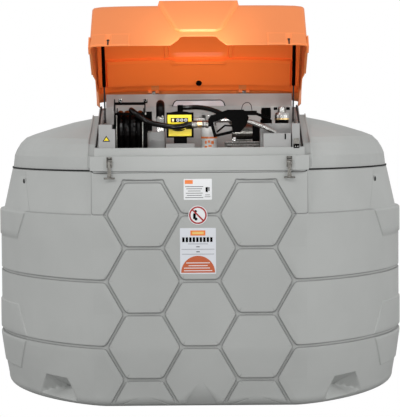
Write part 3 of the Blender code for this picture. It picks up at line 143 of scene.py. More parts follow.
supplyHose = makeHose(hoseSetup)
print("camera and hose ready")


# Shared shader groups. Each takes numbers in and gives colours, roughness or normals out

def feed(node, inputs):
    # Gives each named input of a node its value, or links an output to it
    for label, value in inputs.items():
        if isinstance(value, bpy.types.NodeSocket):
            node.id_data.links.new(value, node.inputs[label])
        else:
            node.inputs[label].default_value = value


def addNode(tree, kind, inputs=None, **settings):
    # A new shader node, of which the outputs are handed back
    node = tree.nodes.new("ShaderNode" + kind)
    for label, value in settings.items():
        setattr(node, label, value)
    feed(node, inputs or {})
    return node.outputs


def newGroup(name, inputs):
    group = bpy.data.node_groups.new(name, "ShaderNodeTree")
    for label, value in inputs.items():
        kind = "NodeSocketColor" if isinstance(value, tuple) else "NodeSocketFloat"
        socket = group.interface.new_socket(label, in_out="INPUT", socket_type=kind)
        socket.default_value = value
    for label, kind in (("Colour", "NodeSocketColor"), ("Roughness", "NodeSocketFloat"),
                        ("Normal", "NodeSocketVector")):
        group.interface.new_socket(label, in_out="OUTPUT", socket_type=kind)
    return group, group.nodes.new("NodeGroupInput").outputs, group.nodes.new("NodeGroupOutput")


def makeMouldedGroup():
    # Moulded plastic: slow colour drift, fine speckle, and a pebbled bump
    group, source, sink = newGroup("mouldedSkin", {
        "Colour": (0.4, 0.4, 0.4, 1), "Drift": 0.06, "Grain Scale": 420.0, "Grain Height": 0.15,
        "Roughness": 0.5})
    place = addNode(group, "TexCoord")["Object"]
    broad = addNode(group, "TexNoise", {"Vector": place, "Scale": 3.1, "Detail": 3})
    fine = addNode(group, "TexNoise", {"Vector": place, "Scale": source["Grain Scale"],
                                       "Detail": 2})
    swing = addNode(group, "MapRange", {"Value": broad["Fac"], "From Min": 0.3, "From Max": 0.7,
                                        "To Min": -0.5, "To Max": 0.5})
    amount = addNode(group, "Math", {0: swing["Result"], 1: source["Drift"], 2: 1.0},
                     operation="MULTIPLY_ADD")
    shade = addNode(group, "VectorMath", {0: source["Colour"], "Scale": amount[0]},
                    operation="SCALE")
    rough = addNode(group, "Math", {0: fine["Fac"], 1: 0.08, 2: source["Roughness"]},
                    operation="MULTIPLY_ADD")
    bump = addNode(group, "Bump", {"Distance": 0.0006, "Strength": source["Grain Height"],
                                   "Height": fine["Fac"]})
    feed(sink, {"Colour": shade["Vector"], "Roughness": rough[0], "Normal": bump["Normal"]})
    return group


def makeHandledGroup():
    # Handled metal or lacquer: blotches move the colour and the roughness
    group, source, sink = newGroup("handledSurface", {
        "Colour": (0.5, 0.5, 0.5, 1), "Worn Colour": (0.3, 0.3, 0.3, 1), "Wear": 0.3,
        "Scale": 40.0, "Roughness": 0.3})
    place = addNode(group, "TexCoord")["Object"]
    blotch = addNode(group, "TexNoise", {"Vector": place, "Scale": source["Scale"], "Detail": 5,
                                         "Roughness": 0.65})
    mask = addNode(group, "MapRange", {"Value": blotch["Fac"], "From Min": 0.45,
                                       "From Max": 0.72})
    share = addNode(group, "Math", {0: mask["Result"], 1: source["Wear"]}, operation="MULTIPLY")
    mix = addNode(group, "Mix", {"Factor": share[0], "A": source["Colour"],
                                 "B": source["Worn Colour"]}, data_type="RGBA")
    rough = addNode(group, "Math", {0: share[0], 1: 0.25, 2: source["Roughness"]},
                    operation="MULTIPLY_ADD")
    bump = addNode(group, "Bump", {"Strength": 0.05, "Distance": 0.0003,
                                   "Height": blotch["Fac"]})
    feed(sink, {"Colour": mix["Result"], "Roughness": rough[0], "Normal": bump["Normal"]})
    return group


mouldedSkin = makeMouldedGroup()
handledSurface = makeHandledGroup()


# Finishes. A look's mark share is how far the marks that the mesh carries darken the colour as
# painted shade; below 0 they lighten it as painted highlight

plasticLooks = {
    "greySkin": {"colour": (0.385, 0.395, 0.385), "roughness": 0.55, "drift": 0.07},
    # greyTank is greySkin with painted shade along the tank's grooves, corner line, step and
    # slanted strip
    "greyTank": {"colour": (0.385, 0.395, 0.385), "roughness": 0.55, "drift": 0.07,
                 "paintedLightShare": 0.50},
    "greyBay": {"colour": (0.32, 0.32, 0.315)},
    "orangeSkin": {"colour": (0.80, 0.205, 0.040), "roughness": 0.42, "drift": 0.05},
    # orangeLid carries painted highlight along the rims of the raised panel and the pads
    "orangeLid": {"colour": (0.76, 0.215, 0.055), "roughness": 0.42, "drift": 0.05,
                  "paintedLightShare": -0.30},
    # orangeInside carries painted highlight on the lining's middle bump and on the strip along its
    # ledge
    "orangeInside": {"colour": (0.95, 0.185, 0.030), "roughness": 0.42, "drift": 0.05,
                     "specular": 0.25, "paintedLightShare": -0.16},
    "blackMoulded": {"colour": (0.0010, 0.0009, 0.0009), "roughness": 0.30, "height": 0.0,
                     "specular": 0.02},
    "rubberSkin": {"colour": (0.0025, 0.0020, 0.0020), "roughness": 0.30, "height": 0.05,
                   "specular": 0.07},
    "hoseSkin": {"colour": (0.002, 0.0015, 0.0015), "roughness": 0.17, "height": 0.0,
                 "specular": 0.16},
    "yellowFace": {"colour": (0.87, 0.68, 0.01), "roughness": 0.35},
    "plateWhite": {"colour": (0.72, 0.73, 0.74), "roughness": 0.35, "drift": 0.02, "height": 0.0},
    "plateGrey": {"colour": (0.66, 0.68, 0.72), "roughness": 0.35, "drift": 0.03, "height": 0.0},
    "printSoft": {"colour": (0.36, 0.37, 0.40), "drift": 0.05, "height": 0.0},
    "printGrey": {"colour": (0.14, 0.14, 0.14), "drift": 0.05, "height": 0.0},
    "paleYellow": {"colour": (0.80, 0.52, 0.16), "roughness": 0.4, "drift": 0.05, "height": 0.0},
    "noticeOrange": {"colour": (0.50, 0.105, 0.035), "roughness": 0.4, "drift": 0.05,
                     "height": 0.0},
    "signRed": {"colour": (0.34, 0.012, 0.012), "roughness": 0.4, "drift": 0.03, "height": 0.0},
    "darkGap": {"colour": (0.006, 0.006, 0.006), "roughness": 0.9, "height": 0.0},
}
handledLooks = {
    "whiteEnamel": {"colour": (0.66, 0.655, 0.635), "worn": (0.6, 0.58, 0.55), "wear": 0.2,
                    "scale": 25.0, "roughness": 0.25, "coat": 0.3},
    "zincSteel": {"colour": (0.20, 0.195, 0.18), "worn": (0.05, 0.04, 0.03), "wear": 0.65,
                  "scale": 90.0, "roughness": 0.34, "metallic": 1.0},
    "brightSteel": {"colour": (0.48, 0.475, 0.46), "worn": (0.16, 0.14, 0.12), "wear": 0.55,
                    "scale": 80.0, "roughness": 0.26, "metallic": 1.0},
    "darkSteel": {"colour": (0.05, 0.05, 0.052), "worn": (0.1, 0.1, 0.1), "wear": 0.3,
                  "scale": 50.0, "roughness": 0.3, "metallic": 0.6},
    "brass": {"colour": (0.75, 0.52, 0.22), "worn": (0.4, 0.28, 0.12), "wear": 0.4,
              "scale": 60.0, "roughness": 0.3, "metallic": 1.0},
}


def newMaterial(name, group, values, metallic=0.0, coat=0.0, specular=0.5):
    mat = bpy.data.materials.new(name)
    mat.use_nodes = True
    skin = addNode(mat.node_tree, "Group", values, node_tree=group)
    feed(mat.node_tree.nodes["Principled BSDF"], {
        "Base Color": skin["Colour"], "Roughness": skin["Roughness"], "Normal": skin["Normal"],
        "Metallic": metallic, "Coat Weight": coat, "Specular IOR Level": specular})
    return mat


def plastic(name, colour, roughness=0.5, drift=0.06, height=0.15, specular=0.5, paintedLightShare=0.0):
    mat = newMaterial(name, mouldedSkin, {
        "Colour": (*colour, 1), "Drift": drift, "Grain Height": height,
        "Roughness": roughness}, specular=specular)
    if paintedLightShare:
        shadeMarks(mat, paintedLightShare)
    return mat


def handled(name, colour, worn, wear, scale, roughness, metallic=0.0, coat=0.0):
    return newMaterial(name, handledSurface, {
        "Colour": (*colour, 1), "Worn Colour": (*worn, 1), "Wear": wear, "Scale": scale,
        "Roughness": roughness}, metallic=metallic, coat=coat)


def shadeMarks(mat, share):
    # Multiplies the colour by 1 - share x the mark that the mesh carries: painted shade where the
    # share is above 0, painted highlight where it is below
    tree = mat.node_tree
    shader = tree.nodes["Principled BSDF"]
    mark = addNode(tree, "Attribute", attribute_name="paintedLightMark")
    amount = addNode(tree, "Math", {0: mark["Fac"], 1: -share, 2: 1.0},
                     operation="MULTIPLY_ADD")
    colour = shader.inputs["Base Color"].links[0].from_socket
    shaded = addNode(tree, "VectorMath", {0: colour, "Scale": amount[0]}, operation="SCALE")
    feed(shader, {"Base Color": shaded["Vector"]})


finishes = {name: plastic(name, **look) for name, look in plasticLooks.items()}
finishes.update({name: handled(name, **look) for name, look in handledLooks.items()})
print("finishes ready:", len(finishes))


# Mesh helpers. A part is a pair of points and faces, and a piece is made of one or more parts

def meshPiece(name, parts, finish, body="tank", smoothAngle=40.0, recalc=True):
    verts, faces, start = [], [], 0
    for points, partFaces in parts:
        verts.append(np.asarray(points, float))
        faces += [[start + i for i in face] for face in partFaces]
        start += len(points)
    mesh = bpy.data.meshes.new(name)
    mesh.from_pydata(np.concatenate(verts).tolist(), [], faces)
    mesh.materials.append(finishes[finish])
    obj = bpy.data.objects.new(name, mesh)
    bpy.context.scene.collection.objects.link(obj)
    mergeAndSmooth(obj, smoothAngle, recalc)
    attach(obj, body)
    return obj


def mergeAndSmooth(obj, smoothAngle, recalc):
    bm = bmesh.new()
    bm.from_mesh(obj.data)
    bmesh.ops.remove_doubles(bm, verts=bm.verts, dist=0.00002)
    if recalc:
        bmesh.ops.recalc_face_normals(bm, faces=bm.faces)
    bm.to_mesh(obj.data)
    bm.free()
    obj.data.shade_smooth()
    obj.data.set_sharp_from_angle(angle=radians(smoothAngle))


def addMark(obj, mark):
    layer = obj.data.attributes.new("paintedLightMark", "FLOAT", "POINT")
    layer.data.foreach_set("value", np.asarray(mark, np.float32).ravel())


def addWall(obj, thickness):
    # Gives a surface its wall, which grows inwards
    wall = obj.modifiers.new("wall", "SOLIDIFY")
    wall.thickness = thickness
    wall.offset = -1


def ease(x):
    # Smooth step from 0 to 1: 3 x squared less 2 x cubed
    x = np.clip(x, 0, 1)
    return x * x * (3 - 2 * x)


def ramp(value, start, length):
    # 0 up to start, then straight up to 1 over the length; below 0 the length runs down
    return np.clip((value - start) / length, 0, 1)


def between(value, low, high, width=0.003):
    # 1 from low to high and 0 outside, with edges of the given width
    return np.clip(np.minimum(value - low, high - value) / width + 0.5, 0, 1)


def runAlong(points):
    # Distance run along a line of points, from 0 at its start
    return np.concatenate([[0], np.cumsum(np.hypot(*np.diff(points, axis=0).T))])


def gridFaces(rows, columns, wrap=False):
    # Quads of a grid of vertices stored row by row
    i = np.arange(rows - 1)[:, None]
    j = np.arange(columns if wrap else columns - 1)[None, :]
    k = (j + 1) % columns
    quads = np.stack([i * columns + j, i * columns + k, (i + 1) * columns + k,
                      (i + 1) * columns + j], axis=-1)
    return quads.reshape(-1, 4).tolist()


def cappedTube(rings):
    # A tube through rings of points, with a flat face over each end
    rows, count = rings.shape[:2]
    faces = gridFaces(rows, count, wrap=True)
    faces.append(list(range(count)))
    faces.append([(rows - 1) * count + i for i in range(count)])
    return rings.reshape(-1, 3), faces


def roundedBox(low, high, radius, steps=4):
    # A box whose corners are sphere eighths: unit sphere points pushed out to each corner
    low, high = np.array(low, float), np.array(high, float)
    middle, half = (low + high) / 2, (high - low) / 2 - radius
    quarter = np.linspace(0, pi / 2, steps + 1)
    tilt = np.concatenate([-quarter[::-1], quarter])
    turn = np.concatenate([quarter + k * pi / 2 for k in range(4)])
    signUp = np.repeat([-1, 1], steps + 1)
    signX = np.repeat([1, -1, -1, 1], steps + 1)
    signY = np.repeat([1, 1, -1, -1], steps + 1)
    up, along = np.meshgrid(tilt, turn, indexing="ij")
    unit = np.stack([np.cos(up) * np.cos(along), np.cos(up) * np.sin(along), np.sin(up)], -1)
    sign = np.stack(np.broadcast_arrays(signX[None, :], signY[None, :], signUp[:, None]), -1)
    return cappedTube(middle + sign * half + radius * unit)


def acrossAxis(axis, helper, other):
    # Unit axis and two unit directions square to it; other stands in for a helper beside it
    axis = np.array(axis, float) / np.linalg.norm(axis)
    a = np.cross(axis, helper if abs(np.dot(axis, helper)) < 0.9 else other)
    a /= np.linalg.norm(a)
    return axis, a, np.cross(axis, a)


def turned(profile, middle, axis, steps=40):
    # (radius, height) pairs spun about an axis through middle
    axis, a, b = acrossAxis(axis, (1.0, 0, 0), (0, 1.0, 0))
    angle = np.linspace(0, 2 * pi, steps, endpoint=False)
    profile = np.array(profile, float)
    ring = np.cos(angle)[:, None] * a + np.sin(angle)[:, None] * b
    return cappedTube(np.array(middle) + profile[:, None, :1] * ring[None]
                      + profile[:, None, 1:] * axis)


def swept(path, section, up=(0, 0, 1), closed=False):
    # A closed section of (side, up) pairs carried along a path
    path = np.array(path, float)
    if closed:
        tangent = np.roll(path, -1, axis=0) - np.roll(path, 1, axis=0)
    else:
        tangent = np.gradient(path, axis=0)
    tangent /= np.linalg.norm(tangent, axis=1)[:, None]
    side = np.cross(tangent, np.array(up, float))
    side /= np.linalg.norm(side, axis=1)[:, None]
    rise = np.cross(side, tangent)
    section = np.array(section, float)
    rings = (path[:, None] + side[:, None] * section[None, :, :1]
             + rise[:, None] * section[None, :, 1:])
    if not closed:
        return cappedTube(rings)
    rings = np.concatenate([rings, rings[:1]])
    return rings.reshape(-1, 3), gridFaces(*rings.shape[:2], wrap=True)


def circle(radius, steps=12):
    angle = np.linspace(0, 2 * pi, steps, endpoint=False)
    return np.stack([radius * np.cos(angle), radius * np.sin(angle)], axis=-1)


def plate(outline, thickness, place):
    # A flat outline of (a, b) pairs made thick; place turns (a, b, depth) into the world
    outline = np.array(outline, float)
    count = len(outline)
    flat = np.concatenate([outline, outline])
    points = place(flat[:, 0], flat[:, 1], np.repeat([0.0, thickness], count))
    faces = [list(range(count)), list(range(count, 2 * count))]
    faces += [[i, (i + 1) % count, count + (i + 1) % count, count + i] for i in range(count)]
    return points, faces


# Tank skin. The plan outline is a flat middle with corners where
# (x share) ^ 1.4 + (y share) ^ 1.7 = 1. A place on it is u metres round from the middle of
# the front and v metres up; grooves, pockets and panels sink or rise along its normal

tankShape = {
    "halfWidth": 1.15,
    "halfDepth": 1.075,
    "flatHalf": 0.50,
    "planPower": 1.4,
    "sidePower": 1.7,
    "seamZ": 1.2447,
    "stepZ": 1.0165,
    "stepHalf": 0.0035,
    "stepInset": 0.020,
    "seamInset": 0.071,
    "seamRound": 0.009,
    "baseInset": 0.095,
    "lowInsets": ((0.048, 0.040), (0.15, 0.0215), (0.30, 0.0)),
    "filletZ": 0.048,
    "bandHalf": 0.5735,
    "bandDraft": 0.008,
    "hexPitchX": 0.2955,
    "hexPitchZ": 0.3475,
    "hexTopZ": 1.0165,
    "grooveHalf": 0.0085,
    "grooveStep": 0.0035,
    "grooveDepth": 0.0090,
    "cornerLineHalf": 0.004,
    "cornerLineDepth": 0.003,
    "cornerRound": 260.0,
    "fadeFrom": 0.012,
    "fadeOver": 0.03,
    "lowest": -0.02,
    "softening": 81,
    "liningScales": (0.975, 0.965),
    "liningFoot": 0.02,
}

# Flank panels and the strip over them. The strip's share of its depth grows from the least to 1
# between two heights
flankShape = {
    "panelRise": 0.006,
    "panelEdge": 0.006,
    "grooveHalf": 0.006,
    "grooveFade": 0.010,
    "stripDepth": 0.013,
    "stripLeast": 0.25,
    "stripGrows": (1.00, 1.20),
    "stripSpan": (1.0215, 1.229),
    "stripEdge": 0.004,
    "stripFade": 0.02,
}

# Painted shade that the finish puts along the groove walls, the corner line, the step and the
# slanted strip: where it lies, its half widths and its strengths
paintedShadeShape = {
    "grooveWall": 0.0076, "grooveHalf": 0.0040,
    "cornerHalf": 0.0045,
    "stepHalf": 0.006, "stepStrength": 0.6, "stepEnd": 1.175,
    "slantHalf": 0.008, "slantStrength": 0.4, "slantFoot": 1.020, "slantTop": 1.226,
}

# Lashing pocket: mouth corners and the two deep points, as (u, height, depth)
pocketShape = {
    "lowLeft": (0.690, 0.016), "lowRight": (1.050, 0.033),
    "highLeft": (0.768, 0.141), "highRight": (0.960, 0.146),
    "deepLeft": (0.812, 0.088, 0.075), "deepRight": (0.898, 0.075, 0.100),
    "before": 0.60, "after": 1.06, "above": 0.23,
}

# Front edge of the flank panels and of the slanted strip above them, as (v, u)
flankEdge = np.array([(-0.02, 1.300), (0.143, 1.275), (0.310, 1.150), (0.335, 1.142),
                      (0.498, 1.255), (0.868, 1.262), (1.012, 1.152), (1.021, 1.137),
                      (1.222, 1.283), (1.245, 1.290)])
flankRows = (0.143, 0.498, 0.868)
flankMiddle = 1.21
stripRear = np.array([(1.018, 1.175), (1.222, 1.500)])

# Rows of vertices near a corner of a hexagon, and rings of them in from its border
cornerSteps = np.array([0, 0.003, 0.006, 0.009, 0.0125, 0.017])
ringSteps = np.array([0, 0.0025, 0.005, 0.006, 0.0072, 0.0085, 0.0095, 0.014, 0.035])


def outlineTable(shape):
    # Arc length along the outline from the middle of the front to the middle of the side
    angle = np.linspace(0, 1, 1500)
    share = np.sin(angle * pi / 2) ** (2 / shape["planPower"])
    x = shape["flatHalf"] + share * (shape["halfWidth"] - shape["flatHalf"])
    y = shape["halfDepth"] * np.clip(1 - share ** shape["planPower"], 0, 1) ** (
        1 / shape["sidePower"])
    run = runAlong(np.stack([x, y], axis=-1))
    return {"run": shape["flatHalf"] + run, "share": share,
            "nx": -np.gradient(y, run), "ny": np.gradient(x, run)}


outline = outlineTable(tankShape)
quarterRun = outline["run"][-1]


def tankProfile(v, shape):
    # Height and inset of the wall for a place v up the wall; below the fillet it curls under
    knots, insets = np.array([*shape["lowInsets"], (shape["stepZ"] - shape["stepHalf"], 0.0)]).T
    dense = np.linspace(0.0, 1.3, 1301)
    kernel = np.hanning(shape["softening"])
    padded = np.pad(np.interp(dense, knots, insets), shape["softening"] // 2, mode="edge")
    softened = np.convolve(padded, kernel / kernel.sum(), mode="valid")
    above = v > shape["stepZ"] - shape["stepHalf"]
    rise = ease((v - shape["stepZ"] + shape["stepHalf"]) / (2 * shape["stepHalf"]))
    slope = ramp(v, shape["stepZ"], shape["seamZ"] - shape["stepZ"])
    upper = shape["stepInset"] * rise + (shape["seamInset"] - shape["stepInset"]) * slope
    inset = np.where(above, upper, np.interp(v, dense, softened))
    span = shape["filletZ"] - shape["lowest"]
    turn = ramp(v, shape["filletZ"], -span) * pi / 2
    foot = np.interp(shape["filletZ"], dense, softened)
    under = v < shape["filletZ"]
    z = np.where(under, shape["filletZ"] * (1 - np.sin(turn)), v)
    inset = np.where(under, foot + (shape["baseInset"] - foot) * (1 - np.cos(turn)), inset)
    return z, inset, above


def heightToV(z, shape):
    # The v of a height, undoing the curl of the foot
    span = shape["filletZ"] - shape["lowest"]
    turn = np.arcsin(np.clip(1 - z / shape["filletZ"], 0, 1))
    return float(z if z > shape["filletZ"] else shape["filletZ"] - span * turn / (pi / 2))


def tankPoint(u, v, shape, sink=0.0):
    # Place on the skin: u metres round from the middle of the front, v up the wall
    side = np.sign(u)
    run = np.abs(u)
    back = run > quarterRun
    run = np.where(back, 2 * quarterRun - run, run)
    flat = run < shape["flatHalf"]
    share = np.where(flat, 0, np.interp(run, outline["run"], outline["share"]))
    nx = np.where(flat, 0.0, np.interp(run, outline["run"], outline["nx"]))
    ny = np.where(flat, 1.0, np.interp(run, outline["run"], outline["ny"]))
    z, inset, above = tankProfile(v, shape)
    inBand = 1 - ease((run - shape["bandHalf"]) / shape["bandDraft"])
    inset = np.where(above & ~back, inset * (1 - inBand), inset)
    lip = np.clip((v - shape["seamZ"] + shape["seamRound"]) / shape["seamRound"], 0, 1)
    inset = inset + shape["seamRound"] * (1 - np.sqrt(1 - lip ** 2))
    reach = shape["halfWidth"] - shape["flatHalf"] - inset
    x = np.where(flat, run, shape["flatHalf"] + share * reach)
    depth = (shape["halfDepth"] - inset) * np.clip(
        1 - share ** shape["planPower"], 0, 1) ** (1 / shape["sidePower"])
    return np.stack([side * (x - nx * sink), np.where(back, 1, -1) * (depth - ny * sink), z],
                    axis=-1)


def hexSegments(shape, frontFace):
    # Groove centre lines on one face, as pairs of (u, v), with the level grooves round the side
    side = shape["hexPitchX"] / 1.5
    half = shape["hexPitchZ"] / 2
    segments = []
    for row in range(-1, 5):
        z = shape["hexTopZ"] - row * shape["hexPitchZ"]
        if row >= 0:
            segments.append(((-side / 2, z), (side / 2, z)))
        for sign in (-1, 1):
            low = z - half
            level = ((sign * side, low), (sign * 2 * side, low))
            inner = ((sign * side / 2, z), (sign * side, low))
            innerLow = ((sign * side, low), (sign * side / 2, low - half))
            outer = ((sign * 2 * side, low), (sign * 2.5 * side, z))
            outerLow = ((sign * 2 * side, low), (sign * 2.5 * side, low - half))
            if row >= 0:
                segments += [level, inner, innerLow, outer, outerLow]
            elif frontFace:
                segments += [level, innerLow, outerLow]
            if row > 0:
                segments.append(((sign * 2.5 * side, z), (sign * quarterRun, z)))
    return segments


def segmentDistance(u, v, segment):
    # Distance from each (u, v) to one straight piece of line
    (u0, v0), (u1, v1) = segment
    runU, runV = u1 - u0, v1 - v0
    t = np.clip(((u - u0) * runU + (v - v0) * runV) / (runU ** 2 + runV ** 2), 0, 1)
    return np.hypot(u - u0 - t * runU, v - v0 - t * runV)


def grooveDistance(u, v, shape, frontFace):
    # Soft least distance to the centre lines, which rounds the corners of each hexagon
    total = np.zeros(u.shape)
    for segment in hexSegments(shape, frontFace):
        total += np.exp(-shape["cornerRound"] * np.minimum(segmentDistance(u, v, segment), 0.2))
    return -np.log(np.maximum(total, 1e-30)) / shape["cornerRound"]


def cornerLineDistance(u, v, shape):
    # Distance to the narrow line round the lower corner of the proud middle and up its side
    x, z = shape["bandHalf"], shape["stepZ"]
    path = [(2.5 * shape["hexPitchX"] / 1.5, z), (x - 0.012, z), (x - 0.0035, z + 0.0035),
            (x, z + 0.012), (x, shape["seamZ"])]
    return np.min([segmentDistance(u, v, segment) for segment in zip(path, path[1:])], axis=0)


def grooveSink(u, v, shape, frontFace):
    # Depth of the groove at (u, v): a flat bottom, then a steep wall
    inner = shape["grooveHalf"] - shape["grooveStep"]
    wall = 1 - ease((grooveDistance(u, v, shape, frontFace) - inner) / shape["grooveStep"])
    sink = shape["grooveDepth"] * wall * ease((v - shape["fadeFrom"]) / shape["fadeOver"])
    if frontFace:
        line = np.clip(1 - cornerLineDistance(u, v, shape) / shape["cornerLineHalf"], 0, 1)
        sink = np.maximum(sink, shape["cornerLineDepth"] * line)
    return sink


def tankPaintedShade(u, v, shape, marks, frontFace):
    # Painted shade along the groove edges, the corner line, the step and the slanted strip
    away = np.abs(grooveDistance(u, v, shape, frontFace) - marks["grooveWall"])
    mark = np.clip(1 - away / marks["grooveHalf"], 0, 1)
    if frontFace:
        line = np.clip(1 - cornerLineDistance(u, v, shape) / marks["cornerHalf"], 0, 1)
        step = np.clip(1 - np.abs(v - shape["stepZ"]) / marks["stepHalf"], 0, 1)
        beside = (u > shape["bandHalf"]) & (u < marks["stepEnd"])
        mark = np.maximum(np.maximum(mark, line), marks["stepStrength"] * beside * step)
    slant = np.abs(u - np.interp(v, flankEdge[:, 0], flankEdge[:, 1]))
    onStrip = (v > marks["slantFoot"]) & (v < marks["slantTop"])
    mark = np.maximum(mark, marks["slantStrength"] * onStrip
                      * np.clip(1 - slant / marks["slantHalf"], 0, 1))
    return mark * ease((v - shape["fadeFrom"]) / shape["fadeOver"])


def edgeShares(a, b):
    # Sample places along a groove edge: close by its ends, evenly spread between
    length = np.hypot(b[0] - a[0], b[1] - a[1])
    spacing = 0.014 if (a[1] + b[1]) / 2 < 0.25 else 0.026
    near = cornerSteps[cornerSteps < length * 0.45]
    middle = np.linspace(near[-1], length - near[-1], max(int(length / spacing), 2))[1:-1]
    return np.concatenate([near, middle, length - near[::-1]]) / length


def cellGrid(corners, centre):
    # One hexagon cell: rings that shrink from its border to its centre, in (u, v)
    border, apothem, starts = [], [], []
    corners = np.array(corners, float)
    for a, b in zip(corners, np.roll(corners, -1, axis=0)):
        shares = edgeShares(a, b)[:-1]
        starts.append(sum(len(part) for part in border))
        border.append(a + (b - a) * shares[:, None])
        normal = np.array([(b - a)[1], -(b - a)[0]]) / np.hypot(*(b - a))
        apothem.append(np.full(len(shares), abs(np.dot(normal, a - centre))))
    border = np.concatenate(border)
    apothem = np.concatenate(apothem)
    starts = np.array(starts)
    apothem[starts] = (apothem[starts] + apothem[starts - 1]) / 2
    shrink = np.minimum(ringSteps[:, None] / apothem[None, :], 0.6)
    shrink = np.concatenate([shrink, np.full((1, len(border)), 0.8)])
    shrink = np.maximum.accumulate(shrink, axis=0)
    grid = border[None] + shrink[..., None] * (np.array(centre) - border)[None]
    count = len(border)
    faces = gridFaces(len(grid), count, wrap=True)
    points = np.concatenate([grid.reshape(-1, 2), [centre]])
    last = (len(grid) - 1) * count
    faces += [[last + i, last + (i + 1) % count, len(points) - 1] for i in range(count)]
    return points, faces


def latticeShift(u, v, lattice, columns, rows):
    # Bilinear move of regular (u, v) lattice cells onto the given corner places
    i = np.clip(np.searchsorted(rows, v, side="right") - 1, 0, len(rows) - 2)
    j = np.clip(np.searchsorted(columns, u, side="right") - 1, 0, len(columns) - 2)
    t = np.clip((v - rows[i]) / (rows[i + 1] - rows[i]), 0, 1)
    s = np.clip((u - columns[j]) / (columns[j + 1] - columns[j]), 0, 1)
    inside = (u > columns[0]) & (u < columns[-1]) & (v > rows[0]) & (v < rows[-1])
    corner = [lattice[i + a, j + b] for a in (0, 1) for b in (0, 1)]
    weight = [(1 - t) * (1 - s), (1 - t) * s, t * (1 - s), t * s]
    moved = sum(c * w[..., None] for c, w in zip(corner, weight))
    return (np.where(inside, moved[..., 0], u), np.where(inside, moved[..., 1], v),
            s, t, np.where(inside, j, -1), i)


def pocketLattice(rows, shape, pocket):
    # Regular lattice through the band's own rows, and where its corners belong
    def nearest(v):
        return rows[np.abs(rows - v).argmin()]

    lowLeft, lowRight, highLeft, highRight, deepLeft, deepRight = [
        np.array([pocket[name][0], heightToV(pocket[name][1], shape)]) for name in (
            "lowLeft", "lowRight", "highLeft", "highRight", "deepLeft", "deepRight")]
    levels = np.array([rows[0], nearest((lowLeft + lowRight)[1] / 2), nearest(0.081),
                       nearest((highLeft + highRight)[1] / 2), nearest(pocket["above"])])
    columns = np.array([pocket["before"], 0.715, deepLeft[0], deepRight[0], 1.0, pocket["after"]])
    lattice = np.stack(np.meshgrid(columns, levels), axis=-1)
    shares = np.array([0.0, 0.34, 0.64, 1.0])[:, None]
    lattice[1, 1:5] = lowLeft + (lowRight - lowLeft) * shares
    lattice[3, 1:5] = highLeft + (highRight - highLeft) * shares
    lattice[2, 1:5] = ((lowLeft + highLeft) / 2, deepLeft, deepRight, (lowRight + highRight) / 2)
    return lattice, columns, levels


def pocketSink(s, t, j, i, pocket):
    # Four plain faces that meet at the two deep points
    left, right = pocket["deepLeft"][2], pocket["deepRight"][2]
    columns = [j == 1, j == 2, j == 3]
    across = np.select(columns, [s, np.ones_like(s), 1 - s], 0.0)
    deep = np.select(columns, [np.full_like(s, left), left + (right - left) * s,
                               np.full_like(s, right)], 0.0)
    return deep * np.minimum(across, np.select([i == 1, i == 2], [t, 1 - t], 0.0))


def flankRelief(u, v, shape, flank):
    # Raised flank panels behind the slanting edge, and the facet strip over them
    edge = np.interp(v, flankEdge[:, 0], flankEdge[:, 1])
    past = ramp(u, edge, flank["panelEdge"])
    half = flank["panelEdge"] / 2
    levelGroove = shape["hexTopZ"] - 2 * shape["hexPitchZ"]
    clear = ramp(np.abs(v - levelGroove), flank["grooveHalf"], flank["grooveFade"])
    top = shape["stepZ"] - shape["stepHalf"] - half
    panels = np.maximum(between(v, flankRows[0], flankRows[1], 2 * half) * clear,
                        between(v, flankRows[2], top, 2 * half))
    rear = np.interp(v, stripRear[:, 0], stripRear[:, 1])
    slant = np.clip((rear - u) / np.maximum(rear - edge, flank["stripFade"]), 0, 1)
    grows, full = flank["stripGrows"]
    deep = flank["stripDepth"] * np.clip((v - grows) / (full - grows), flank["stripLeast"], 1)
    low, high = flank["stripSpan"]
    deep = deep * ramp(v, low, flank["stripEdge"]) * ramp(v, high, -flank["stripEdge"])
    return flank["panelRise"] * panels * past - deep * slant * past


